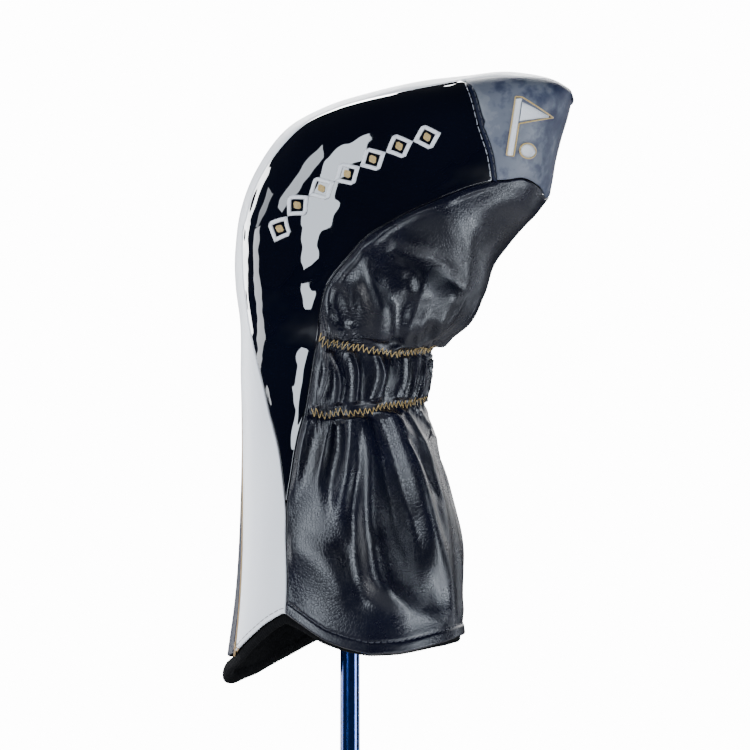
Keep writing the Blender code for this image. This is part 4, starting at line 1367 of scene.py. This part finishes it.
FLAG = [(-4.2, 12.0), (8.6, 7.6), (-4.2, 3.0)]
for tag in ("front", "back"):
    place = flag_place(tag)
    st = [((-5.4, -12.6), (-5.4, 12.8), 2.5, (1, 0.25))]
    # the pennant, filled with stitches square to the pole
    parts = satin(st, place)
    for i in range(30):
        u = i / 29
        x = -3.6 + u * 12.0
        hi = 12.0 - (x + 4.2) * 4.4 / 12.8
        lo = 3.0 + (x + 4.2) * 4.6 / 12.8
        if hi - lo < 0.6:
            continue
        loc = np.stack([np.full(9, x), np.linspace(lo, hi, 9)], -1)
        pts, nrm = place(loc)
        w = np.linspace(-1, 1, 9)
        pts = pts + nrm * (0.00018 + 0.0004 * (1 - np.abs(w) ** 3))[:, None]
        parts.append(tube_data(pts, 0.00026, 4, ups=nrm))
    # and a ball beside it
    for i in range(17):
        x = -2.75 + 5.5 * i / 16
        hh = math.sqrt(max(2.9 ** 2 - x * x, 0.3))
        loc = np.stack([np.full(7, x + 1.6), np.linspace(-hh, hh, 7) - 9.4], -1)
        pts, nrm = place(loc)
        w = np.linspace(-1, 1, 7)
        pts = pts + nrm * (0.00018 + 0.0005 * (1 - np.abs(w) ** 3))[:, None]
        parts.append(tube_data(pts, 0.00024, 4, ups=nrm))
    finish_panel(merged_mesh("flag_embroidery_" + tag, parts, M_WHITE_THREAD),
                 None)
    outline = [(-6.9, -12.9), (-6.9, 13.8), (-4.3, 14.1), (9.8, 7.6), (-3.8, 1.9), (-3.8, -12.9),
               (-6.9, -12.9)]
    parts = []
    op = np.array(outline, float)
    for a, b in zip(op, op[1:]):
        u = np.linspace(0, 1, max(4, int(np.linalg.norm(b - a) / 0.8)))
        pts, nrm = place(a[None] * (1 - u)[:, None] + b[None] * u[:, None])
        parts.append(tube_data(pts + nrm * 0.00025, 0.00036, 6, ups=nrm))
    aa = np.linspace(0, 2 * np.pi, 40)
    pts, nrm = place(np.stack([1.6 + 3.35 * np.cos(aa), -9.4 + 3.35 * np.sin(aa)], -1))
    parts.append(tube_data(pts + nrm * 0.00025, 0.00036, 6, ups=nrm))
    finish_panel(merged_mesh("flag_outline_" + tag, parts, M_GOLD_THREAD),
                 None)


# --------------------------------------------------- binding, lining, inside
def ring_rows(table_fn, depth, n):
    th = np.linspace(-180, 180, n, endpoint=False)
    s = table_fn(th)
    return base(s, th) - normal(s, th) * depth, normal(s, th), s, th


def band_s(th):
    """Middle line of the hem binding."""
    low = hem_s(th, H_BIND)
    return low + 0.118


K = int(1500 * NQ)
cth = np.linspace(-180, 180, K, endpoint=False)
cs_ = band_s(cth)
hang = np.clip((hem_s(cth) - hem_s(cth, H_BIND) - 0.12) / 0.5, 0, 1)
hang = hang * hang * (3 - 2 * hang)
cn = normal(cs_, cth)
core = base(cs_, cth) - cn * (0.0032 - 0.0020 * hang)[:, None]
run = np.concatenate([[0], np.cumsum(np.linalg.norm(np.diff(core, axis=0), axis=1))])
rib = 1 + 0.05 * np.sin(2 * np.pi * run / 0.0012)
tall = (0.0026 + 0.0019 * hang) * rib
v = np.roll(core, -1, 0) - np.roll(core, 1, 0)
v /= np.linalg.norm(v, axis=1, keepdims=True)
w_ = np.cross(v, cn)
a = np.linspace(0, 2 * np.pi, 16, endpoint=False)
prof_n = np.cos(a)[None, :] * ((0.0011 + 0.0018 * hang) * rib)[:, None]
prof_w = np.sin(a)
ringp = (core[:, None] + cn[:, None] * prof_n[..., None]
         + w_[:, None] * (prof_w[None, :] * tall[:, None])[..., None])
faces = grid_faces(K, 16, ring=True)
q = (K - 1) * 16
faces += [[q + j, q + (j + 1) % 16, (j + 1) % 16, j] for j in range(16)]
o = mesh_object("hem_binding_ribbed", ringp.reshape(-1, 3), faces)
o.data.materials.append(M_BINDING)
finish_panel(o, ["hem_binding"])

# lining: a closed fleece bag, open at the hem
rows = by_height(HEM_S, 19.2, int(150 * NQ), 0.0)
n_th = int(150 * NQ)
th = np.linspace(-180, 180, n_th, endpoint=False)[None, :] + np.zeros((len(rows), 1))
s = rows[:, None] + hem_bend(rows[:, None], th, H_BIND) + 0.10
s = np.clip(s, 0, LAST)
b, n = base(s, th), normal(s, th)
low = np.exp(-(rows[:, None] - HEM_S) / 0.45)
hang2 = np.clip((hem_s(th) - hem_s(th, H_BIND) - 0.12) / 0.5, 0, 1)
deep = 0.0050 - (0.0016 + 0.0018 * hang2) * low
fluff = 0.0003 * value_noise(b, 0.006, 61) + 0.0006 * value_noise(b, 0.03, 62)
pts = b - n * (deep + fluff)[..., None]
verts = pts.reshape(-1, 3)
faces = grid_faces(len(rows), n_th, ring=True)
top = verts[(len(rows) - 1) * n_th:].mean(0)
verts = np.vstack([verts, top])
k = len(verts) - 1
j0 = (len(rows) - 1) * n_th
faces += [[j0 + j, j0 + (j + 1) % n_th, k] for j in range(n_th)]
o = mesh_object("lining_fleece", verts, faces)
md = o.modifiers.new("wall", "SOLIDIFY")
md.thickness = 0.0008
md.offset = -1.0
o.data.materials.append(M_FLEECE)
bm_ = bmesh.new()
bm_.from_mesh(o.data)
bmesh.ops.recalc_face_normals(bm_, faces=bm_.faces)
bm_.to_mesh(o.data)
bm_.free()
finish_panel(o, ["fleece_lining"])

# elastic webbing behind the two gathered rows
for tag, t_tab, s_tab in (("upper", UP_T, UP_S), ("lower", LOW_T, LOW_S)):
    t = np.linspace(52.0, 360 + other(52.0), int(260 * NQ))
    mid_s = np.interp(t, t_tab, s_tab)
    r = np.linspace(-0.28, 0.28, 15)
    s = mid_s[None, :] + r[:, None]
    th = np.tile(t, (15, 1))
    b, n = base(s, th), normal(s, th)
    rib = 0.00012 * np.cos(np.linspace(0, 14 * np.pi, 15))[:, None]
    pts = b - n * (0.0029 + rib)[..., None]
    o = grid_object("elastic_band_" + tag, pts, n, 0.0009, mats=[M_ELASTIC])
    finish_panel(o, ["elastic_" + tag])

# foam pads behind the gloss panels
for way, tag in ((1, "front"), (-1, "back")):
    rows = by_height(9.0, 17.4, int(70 * NQ))
    lo = lambda q: along(gus, q, 5.0, 1)
    hi = lambda q: along(lambda z: gloss_seam(np.minimum(z, CORNER_S)), q, 4.0, 1)
    if way < 0:
        lo = lambda q: along(lambda z: gloss_seam(np.minimum(z, CORNER_S)), q, 4.0, -1)
        hi = lambda q: along(gus, q, 5.0, -1)
    s, th = grid(rows, lo, hi, int(70 * NQ))
    b, n = base(s, th), normal(s, th)
    d = border_distance(b)
    pts = b - n * ((2.45 + 0.9 * np.exp(-d / 1.6)) * MM)[..., None]
    o = grid_object("foam_sheet_" + tag, pts, n, 0.0009, mats=[M_FOAM])
    finish_panel(o, ["foam_pad_" + tag])
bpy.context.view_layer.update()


# ---------------------------------------------------------------------- club
M_SHAFT, nt, b = new_material("shaft_paint_look")
nt.links.new(ramp(nt, noise(nt, 240.0, 2.0), [(0.2, c4(0.020, 0.062, 0.27)),
                                              (0.8, c4(0.012, 0.040, 0.19))]),
             b.inputs["Base Color"])
nt.links.new(span(nt, noise(nt, 300.0), 0.12, 0.17), b.inputs["Roughness"])
b.inputs["Metallic"].default_value = 0.9
b.inputs["Coat Weight"].default_value = 1.0
b.inputs["Coat Roughness"].default_value = 0.03

M_GRIP = leather("grip_rubber_look", (0.0035, 0.0035, 0.004), (0.008, 0.008, 0.0088), 0.66,
                 cell=0.0007, depth=0.00005)
M_FERRULE, nt, b = new_material("ferrule_look")
nt.links.new(ramp(nt, noise(nt, 200.0), [(0.2, c4(0.004, 0.004, 0.005)),
                                        (0.8, c4(0.009, 0.009, 0.011))]),
             b.inputs["Base Color"])
nt.links.new(span(nt, noise(nt, 900.0), 0.12, 0.22), b.inputs["Roughness"])
b.inputs["Coat Weight"].default_value = 0.5


def metal(name, a, c, r0, r1, brush=None, weight=0.15):
    m, nt, b = new_material(name)
    vec = stretched(nt, *brush) if brush else None
    nt.links.new(ramp(nt, noise(nt, 60.0, 4.0), [(0.3, c4(*a)), (0.7, c4(*c))]),
                 b.inputs["Base Color"])
    f = noise(nt, 900.0, 4.0, 0.6, vec)
    nt.links.new(span(nt, f, r0, r1), b.inputs["Roughness"])
    nt.links.new(bump(nt, f, weight, 0.00004), b.inputs["Normal"])
    b.inputs["Metallic"].default_value = 1.0
    return m


M_ALLOY = metal("adapter_alloy_look", (0.42, 0.43, 0.45), (0.50, 0.51, 0.53), 0.25, 0.40)
M_STEEL = metal("head_steel_look", (0.30, 0.31, 0.34), (0.37, 0.38, 0.41), 0.22, 0.34,
                (1, 1, 0.15))
M_FACE = metal("face_steel_look", (0.28, 0.28, 0.30), (0.34, 0.34, 0.36), 0.30, 0.46,
               (0.2, 1, 1))
M_WEIGHT = metal("weight_look", (0.20, 0.20, 0.21), (0.26, 0.26, 0.27), 0.28, 0.4)
M_SCREW = metal("screw_look", (0.10, 0.10, 0.11), (0.16, 0.16, 0.17), 0.3, 0.45)
M_TAPE = plain_leather("grip_tape_look", (0.45, 0.38, 0.26), (0.56, 0.48, 0.34), 0.75, 900.0)

M_CARBON, nt, b = new_material("crown_composite_look")
vec = stretched(nt, 1, 1, 1)
sep = node(nt, "ShaderNodeSeparateXYZ")
nt.links.new(vec, sep.inputs[0])
ax = math_node(nt, "ADD", math_node(nt, "MULTIPLY", sep.outputs["X"], 0.848),
               math_node(nt, "MULTIPLY", sep.outputs["Z"], 0.530))
u = math_node(nt, "MULTIPLY", math_node(nt, "ADD", ax, sep.outputs["Y"]), 1 / 0.0024)
v = math_node(nt, "MULTIPLY", math_node(nt, "SUBTRACT", ax, sep.outputs["Y"]), 1 / 0.0024)
fu, fv = math_node(nt, "FLOOR", u), math_node(nt, "FLOOR", v)
par = math_node(nt, "PINGPONG", math_node(nt, "ADD", fu, fv), 1.0)
weave = math_node(nt, "ADD", math_node(nt, "MULTIPLY", par, 0.8),
                  math_node(nt, "MULTIPLY", noise(nt, 2500.0), 0.2))
nt.links.new(ramp(nt, weave, [(0.1, c4(0.0025, 0.004, 0.012)), (0.9, c4(0.012, 0.018, 0.045))]),
             b.inputs["Base Color"])
nt.links.new(span(nt, weave, 0.22, 0.36), b.inputs["Roughness"])
nt.links.new(bump(nt, weave, 0.15, 0.00005), b.inputs["Normal"])
b.inputs["Coat Weight"].default_value = 1.0
b.inputs["Coat Roughness"].default_value = 0.04


def turned(name, profile, steps, mat, nodes, body="club", wobble=None):
    """A closed profile of (radius, height) turned about the shaft axis."""
    p = np.asarray(profile, float)
    a = np.linspace(0, 2 * np.pi, steps, endpoint=False)
    r = np.tile(p[:, 0][:, None], (1, steps))
    if wobble is not None:
        r = r + wobble(p[:, 0][:, None], p[:, 1][:, None], a[None, :])
    verts = np.stack([r * np.cos(a), r * np.sin(a), np.tile(p[:, 1][:, None], (1, steps))], -1)
    faces = grid_faces(len(p), steps, ring=True)
    q = (len(p) - 1) * steps
    faces += [[q + j, q + (j + 1) % steps, (j + 1) % steps, j] for j in range(steps)]
    o = mesh_object(name, verts.reshape(-1, 3), faces)
    bm_ = bmesh.new()
    bm_.from_mesh(o.data)
    bmesh.ops.recalc_face_normals(bm_, faces=bm_.faces)
    bm_.to_mesh(o.data)
    bm_.free()
    o.data.set_sharp_from_angle(angle=math.radians(32))
    o.data.materials.append(mat)
    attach(o, body)
    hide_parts(*nodes)
    return o


def rounded(profile, r=0.0003, n=4):
    """The same closed profile with its corners eased."""
    p = np.asarray(profile, float)
    out = []
    for i in range(len(p)):
        a, b, c = p[i - 1], p[i], p[(i + 1) % len(p)]
        d1, d2 = a - b, c - b
        l1, l2 = np.linalg.norm(d1), np.linalg.norm(d2)
        k = min(r, 0.4 * l1, 0.4 * l2)
        s0, s1 = b + d1 / l1 * k, b + d2 / l2 * k
        for t in np.linspace(0, 1, n):
            out.append((1 - t) ** 2 * s0 + 2 * t * (1 - t) * b + t ** 2 * s1)
    return np.array(out)


SHAFT = np.array([(0.0033, 0.00760), (0.15, 0.00725), (0.30, 0.00680), (0.50, 0.00600),
                  (0.70, 0.00520), (0.82, 0.00470), (0.93, 0.00440), (0.99, 0.00425),
                  (1.0665, 0.00425)])


def shaft_r(z):
    return np.interp(z, SHAFT[:, 0], SHAFT[:, 1])


zs = np.concatenate([[0.0033], np.linspace(0.0036, 1.0662, 90), [1.0665]])
outer = np.stack([shaft_r(zs), zs], -1)
outer[0, 0] -= 0.00025
outer[-1, 0] -= 0.00025
inner = outer[::-1].copy()
inner[:, 0] = shaft_r(inner[:, 1]) - 0.0012
turned("shaft_tube", np.vstack([outer, inner]), 96, M_SHAFT, ["shaft"])

grip_rows = np.array([(0.0033, 0.0133), (0.02, 0.0131), (0.08, 0.0122), (0.16, 0.0110),
                      (0.24, 0.0099), (0.264, 0.0094), (0.265, 0.0086)])
zs = np.concatenate([np.linspace(0.0033, 0.2635, 620),
                     [0.2642, 0.2648, 0.265]])
outer = np.stack([np.interp(zs, grip_rows[:, 0], grip_rows[:, 1]), zs], -1)
outer[0, 0] -= 0.0002
inner = np.stack([shaft_r(zs[::-40]) + 0.0012, zs[::-40]], -1)
n_out = len(outer)


def tread(r, z, a):
    """Raised lozenges in bands, plain rings between the bands."""
    band = np.clip(np.minimum(np.abs(((z - 0.012) % 0.060) - 0.0) , np.abs(0.060 - ((z - 0.012) % 0.060))) / 0.004 - 0.6, 0, 1)
    u = a * 18 / (2 * np.pi)
    v = z / 0.0062
    loz = np.abs((u + v) % 1 - 0.5) + np.abs((u - v) % 1 - 0.5)
    h = np.clip((0.78 - loz) * 6, 0, 1)
    ends = np.clip((z - 0.012) / 0.004, 0, 1) * np.clip((0.252 - z) / 0.004, 0, 1)
    inside = (r > shaft_r(z) + 0.0016)
    return np.where(inside, -0.00028 * (1 - h) * band * ends, 0.0)


turned("grip_rubber_sleeve", np.vstack([outer, inner]), 288, M_GRIP,
       ["grip_sleeve"], wobble=tread)
turned("grip_end_cap", rounded([(0.0132, 0.0030), (0.0133, 0.0022), (0.0124, 0.0003),
                                (0.0117, 0.0), (0.0060, 0.0), (0.0056, 0.0003), (0.0030, 0.0003),
                                (0.0027, 0.0), (0.0015, 0.0), (0.0015, 0.0030)], 0.0003), 96,
       M_GRIP, ["grip_cap"])
turned("ferrule_turned", rounded([(0.0065, 1.0240), (0.0065, 1.0222), (0.0062, 1.0219),
                                  (0.0062, 1.0212), (0.0064, 1.0208), (0.00625, 1.0196),
                                  (0.0060, 1.0193), (0.0060, 1.0187), (0.0061, 1.0184),
                                  (0.0056, 1.0130), (0.0050, 1.0070), (0.00455, 1.0070),
                                  (0.00455, 1.0240)], 0.0002), 96, M_FERRULE,
       ["ferrule"])


def notches(r, z, a):
    k = np.clip(np.cos(a * 8) * 6 - 5.0, 0, 1)
    return np.where(r > 0.0060, -0.00022 * k, 0.0)


turned("adapter_turned", rounded([(0.00225, 1.0735), (0.00545, 1.0735), (0.00545, 1.0288),
                                  (0.0069, 1.0287), (0.0069, 1.0250), (0.0066, 1.0244),
                                  (0.00455, 1.0244), (0.00455, 1.0670), (0.00225, 1.0670)],
                                 0.0002), 128, M_ALLOY, ["hosel_adapter"],
       wobble=notches)
turned("cog_turned", rounded([(0.0069, 1.0327), (0.0069, 1.0291), (0.0058, 1.0291),
                              (0.0058, 1.0327)], 0.0002), 128, M_ALLOY,
       ["hosel_cog"], wobble=notches)

# head panels, finer than the frame's, on the same surfaces
LIE, LOFT = math.radians(58.0), math.radians(15.0)
TOE = np.array([math.sin(LIE), 0, math.cos(LIE)])
BACK = np.array([0.0, 1.0, 0.0])
CROWN = np.array([math.cos(LIE), 0, -math.sin(LIE)])
SOLE = np.array([0, 0, SOLE_Z])


def head_at(phi, r, h):
    c, q = np.cos(np.radians(phi)), np.sin(np.radians(phi))
    n = np.where(q > 0, 2.2, 3.0)
    bk = np.where(q > 0, 48.0, 34.0)
    u, v = 53.0 * power(c, 2 / n), bk * power(q, 2 / n)
    front = np.maximum(0.0, -q)
    lean = (h - 17.0) * math.tan(LOFT) * front ** 0.7 * r ** 3
    x, y = 34.0 + u * r, 20.0 + v * r + lean
    return SOLE + (TOE * x[..., None] + BACK * y[..., None] + CROWN * h[..., None]) * MM


def crown_edge(phi):
    q = np.sin(np.radians(phi))
    return 23 + 9.5 * np.maximum(0, -q) ** 1.5 - 8 * np.maximum(0, q) ** 1.5


def sole_edge(phi):
    c, q = np.cos(np.radians(phi)), np.sin(np.radians(phi))
    return (3.5 + 4 * np.maximum(0, q) + 4.5 * np.maximum(0, c) ** 2
            + 2.5 * np.maximum(0, -c) ** 2)


def crown_at(phi, r):
    e = crown_edge(phi)
    return head_at(phi, r, e + (39.0 - e) * (1 - r ** 2.4))


def sole_at(phi, r):
    return head_at(phi, r, sole_edge(phi) * r ** 2.4)


def side_at(phi, t):
    a, b = crown_edge(phi), sole_edge(phi)
    return head_at(phi, 1 + 0.035 * np.sin(math.pi * t), a + (b - a) * t)


def reach(phi):
    d = (phi - 203 + 180) % 360 - 180
    return 0.87 - 0.40 * np.exp(-(d / 26.0) ** 2)


def disc(name, fn, rim, thick, mat, nodes, sgn, n=180, m=26, edge_drop=0.0004):
    phi = np.linspace(0, 360, n, endpoint=False)[None, :] + np.zeros((m, 1))
    k = (np.linspace(1, 0, m, endpoint=False) ** 0.8)[:, None]
    k = 1 - (1 - k) * (0.4 + 0.6 * (1 - k))
    r = rim(phi) * k
    pts = fn(phi, r)
    drop = np.exp(-((1 - k) * 50.0 / 0.8)) * edge_drop
    pts = pts - CROWN * (drop * sgn)[..., None]
    verts = np.vstack([pts.reshape(-1, 3), fn(np.array([0.0]), np.array([1e-6]))])
    faces = grid_faces(m, n, ring=True)
    q = (m - 1) * n
    faces += [[q + j, q + (j + 1) % n, m * n] for j in range(n)]
    o = mesh_object(name, verts, faces)
    bm_ = bmesh.new()
    bm_.from_mesh(o.data)
    bm_.normal_update()
    up = sum((f.normal.dot(Vector(CROWN)) for f in bm_.faces))
    if up * sgn < 0:
        bmesh.ops.reverse_faces(bm_, faces=bm_.faces)
    bm_.to_mesh(o.data)
    bm_.free()
    w = o.modifiers.new("wall", "SOLIDIFY")
    w.thickness = thick
    w.offset = -1.0
    o.data.materials.append(mat)
    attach(o, "club")
    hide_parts(*nodes)
    return o


disc("crown_weave", crown_at, lambda p: (reach(p) - 0.008) * 0.99, 0.0012, M_CARBON,
     ["crown_panel"], 1)
disc("sole_weave", sole_at, lambda p: np.full(p.shape, 0.608), 0.0015, M_CARBON,
     ["sole_plate"], -1)

# face cup with its score lines
SLIT = 1.2
kinds = ([("c", r) for r in np.linspace(0.89, 0.985, 7)] + [("c", 1.0)]
         + [("s", t) for t in np.linspace(0.02, 0.98, 150)]
         + [("b", 1.0)] + [("b", r) for r in np.linspace(0.985, 0.875, 7)])
mm_ = 90
phi = np.linspace(240 + SLIT, 330 - SLIT, mm_)
rows = []
for kind, r in kinds:
    rows.append({"c": crown_at, "s": side_at, "b": sole_at}[kind](phi, np.full(mm_, r)))
pts = np.array(rows)
nn = np.cross(np.gradient(pts, axis=0), np.gradient(pts, axis=1))
nn /= np.maximum(np.linalg.norm(nn, axis=-1, keepdims=True), 1e-12)
if nn[80, 45] @ np.array([0, -1.0, 0]) < 0:
    nn = -nn
rel = pts - SOLE
h_mm = rel @ CROWN * 1000
x_mm = rel @ TOE * 1000
lines = np.zeros(h_mm.shape)
for k in range(9):
    hh = 8.0 + k * 2.4
    wide = 27.0
    on = (np.abs(x_mm - 34.0) < wide) & (np.abs(x_mm - 34.0) > (7.5 if 0 < k < 8 else -1))
    lines = np.maximum(lines, np.exp(-((h_mm - hh) / 0.22) ** 2) * on)
pts = pts - nn * (lines * 0.0003)[..., None]
o = grid_object("face_scored", pts, nn, 0.0024, mats=[M_FACE])
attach(o, "club")
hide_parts("face_cup")



def eased(node_name, name, mat, angle=42.0):
    """A node's own shape with its curved faces shaded as one surface."""
    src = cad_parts[node_name]
    bm_ = bmesh.new()
    bm_.from_mesh(src.data)
    bm_.transform(src.matrix_world)
    bmesh.ops.remove_doubles(bm_, verts=bm_.verts, dist=2e-5)
    bmesh.ops.dissolve_degenerate(bm_, edges=bm_.edges, dist=1e-6)
    me = bpy.data.meshes.new(name)
    bm_.to_mesh(me)
    bm_.free()
    me.shade_smooth()
    me.set_sharp_from_angle(angle=math.radians(angle))
    o = bpy.data.objects.new(name, me)
    COLL.objects.link(o)
    me.materials.clear()
    me.materials.append(mat)
    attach(o, "club")
    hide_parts(node_name)
    return o



eased("head_frame", "head_frame_eased", M_STEEL)

KEEP = {"rear_weight": M_WEIGHT, "inner_weight": M_WEIGHT,
        "hosel_screw": M_SCREW, "screw_washer": M_SCREW, "grip_tape": M_TAPE}
for k, mt in KEEP.items():
    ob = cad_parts[k]
    for i in range(len(ob.material_slots)):
        ob.material_slots[i].material = mt
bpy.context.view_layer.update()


# -------------------------------------------------------------------- studio
def area(name, at, to, w, h, power_w, colour=(1, 1, 1)):
    l = bpy.data.lights.new(name, "AREA")
    l.shape = "RECTANGLE"
    l.size, l.size_y = w, h
    l.energy = power_w
    l.color = colour
    o = bpy.data.objects.new(name, l)
    COLL.objects.link(o)
    o.location = at
    d = Vector(to) - Vector(at)
    o.rotation_mode = "QUATERNION"
    o.rotation_quaternion = d.to_track_quat("-Z", "Y")
    return o


AIM = (0.01, 0.015, 1.0)


def softbox(name, az, el, dist, w, h, radiance, colour=(1, 1, 1), spin=0.0):
    a, e = math.radians(az), math.radians(el)
    at = (AIM[0] + math.sin(a) * math.cos(e) * dist, AIM[1] - math.cos(a) * math.cos(e) * dist,
          AIM[2] + math.sin(e) * dist)
    o = area(name, at, AIM, w, h, radiance * math.pi * w * h, colour)
    if spin:
        o.rotation_quaternion = o.rotation_quaternion @ Matrix.Rotation(
            math.radians(spin), 3, "Z").to_quaternion()
    return o


softbox("key_left", -29, 17, 1.9, 0.72, 1.5, 11.5, (0.82, 0.90, 1.0), spin=14)
softbox("key_left_arm", -66, 30, 1.9, 0.36, 0.8, 7.0, (0.84, 0.91, 1.0), spin=-28)
softbox("small_left", -101, 20, 1.9, 0.3, 0.4, 3.0, (0.88, 0.93, 1.0))
softbox("left_fill", -96, -4, 1.7, 0.45, 1.1, 6.0, (0.90, 0.94, 1.0), spin=10)
softbox("slit_right", 72, -4, 1.8, 0.06, 1.3, 26.0, (0.80, 0.90, 1.0))
softbox("front_right", 26, 24, 1.9, 0.16, 0.26, 9.0, (0.84, 0.91, 1.0))
softbox("side_right", 72, -16, 1.7, 0.7, 0.6, 12.0, (0.84, 0.91, 1.0))
softbox("low_right", 46, -34, 1.5, 0.45, 0.3, 14.0, (0.84, 0.91, 1.0))
softbox("strip_left", -130, 3, 1.7, 0.36, 1.7, 14.0, (0.95, 0.97, 1.0))
softbox("left_low", -80, -30, 1.6, 0.5, 0.3, 14.0, (0.95, 0.97, 1.0))
softbox("top_back", 180, 30, 1.9, 1.5, 0.6, 18.0)
softbox("right_back", 128, 5, 1.7, 0.3, 1.7, 3.0, (0.85, 0.91, 1.0))
softbox("back_soft", 150, 20, 2.2, 1.0, 1.2, 3.0)

world = bpy.data.worlds.new("studio")
bpy.context.scene.world = world
world.use_nodes = True
wn = world.node_tree
wn.nodes.clear()
out = wn.nodes.new("ShaderNodeOutputWorld")
mix = wn.nodes.new("ShaderNodeMixShader")
lp = wn.nodes.new("ShaderNodeLightPath")
dim = wn.nodes.new("ShaderNodeBackground")
dim.inputs["Color"].default_value = (0.75, 0.80, 0.90, 1)
dim.inputs["Strength"].default_value = 0.03
lit = wn.nodes.new("ShaderNodeBackground")
lit.inputs["Color"].default_value = (1, 1, 1, 1)
lit.inputs["Strength"].default_value = 14.0
wn.links.new(lp.outputs["Is Camera Ray"], mix.inputs[0])
wn.links.new(dim.outputs[0], mix.inputs[1])
wn.links.new(lit.outputs[0], mix.inputs[2])
wn.links.new(mix.outputs[0], out.inputs[0])

m, nt, b = new_material("floor_look")
b.inputs["Base Color"].default_value = (0.45, 0.45, 0.455, 1)
b.inputs["Roughness"].default_value = 0.8
nt.links.new(bump(nt, noise(nt, 40.0), 0.05, 0.001), b.inputs["Normal"])
seen = node(nt, "ShaderNodeLightPath")
b.inputs["Emission Color"].default_value = (1, 1, 1, 1)
nt.links.new(math_node(nt, "MULTIPLY", seen.outputs["Is Camera Ray"], 5.0),
             b.inputs["Emission Strength"])
floor = mesh_object("floor", [(-9.5, -9.5, -0.0005), (9.5, -9.5, -0.0005),
                              (9.5, 9.5, -0.0005), (-9.5, 9.5, -0.0005)], [(0, 1, 2, 3)])
floor.data.materials.append(m)

cam_data = bpy.data.cameras.new("camera")
cam = bpy.data.objects.new("camera", cam_data)
COLL.objects.link(cam)
cam_data.type = "PERSP"
cam_data.sensor_width = 36.0
CAM_DIST = 2.2
PLANE_Y = 0.010
cam.location = (0.01175, PLANE_Y - CAM_DIST, 0.99377)
cam.rotation_euler = (math.radians(90), 0, 0)
cam_data.lens = 36.0 * CAM_DIST / 0.3525
cam_data.clip_start, cam_data.clip_end = 0.05, 60
bpy.context.scene.camera = cam
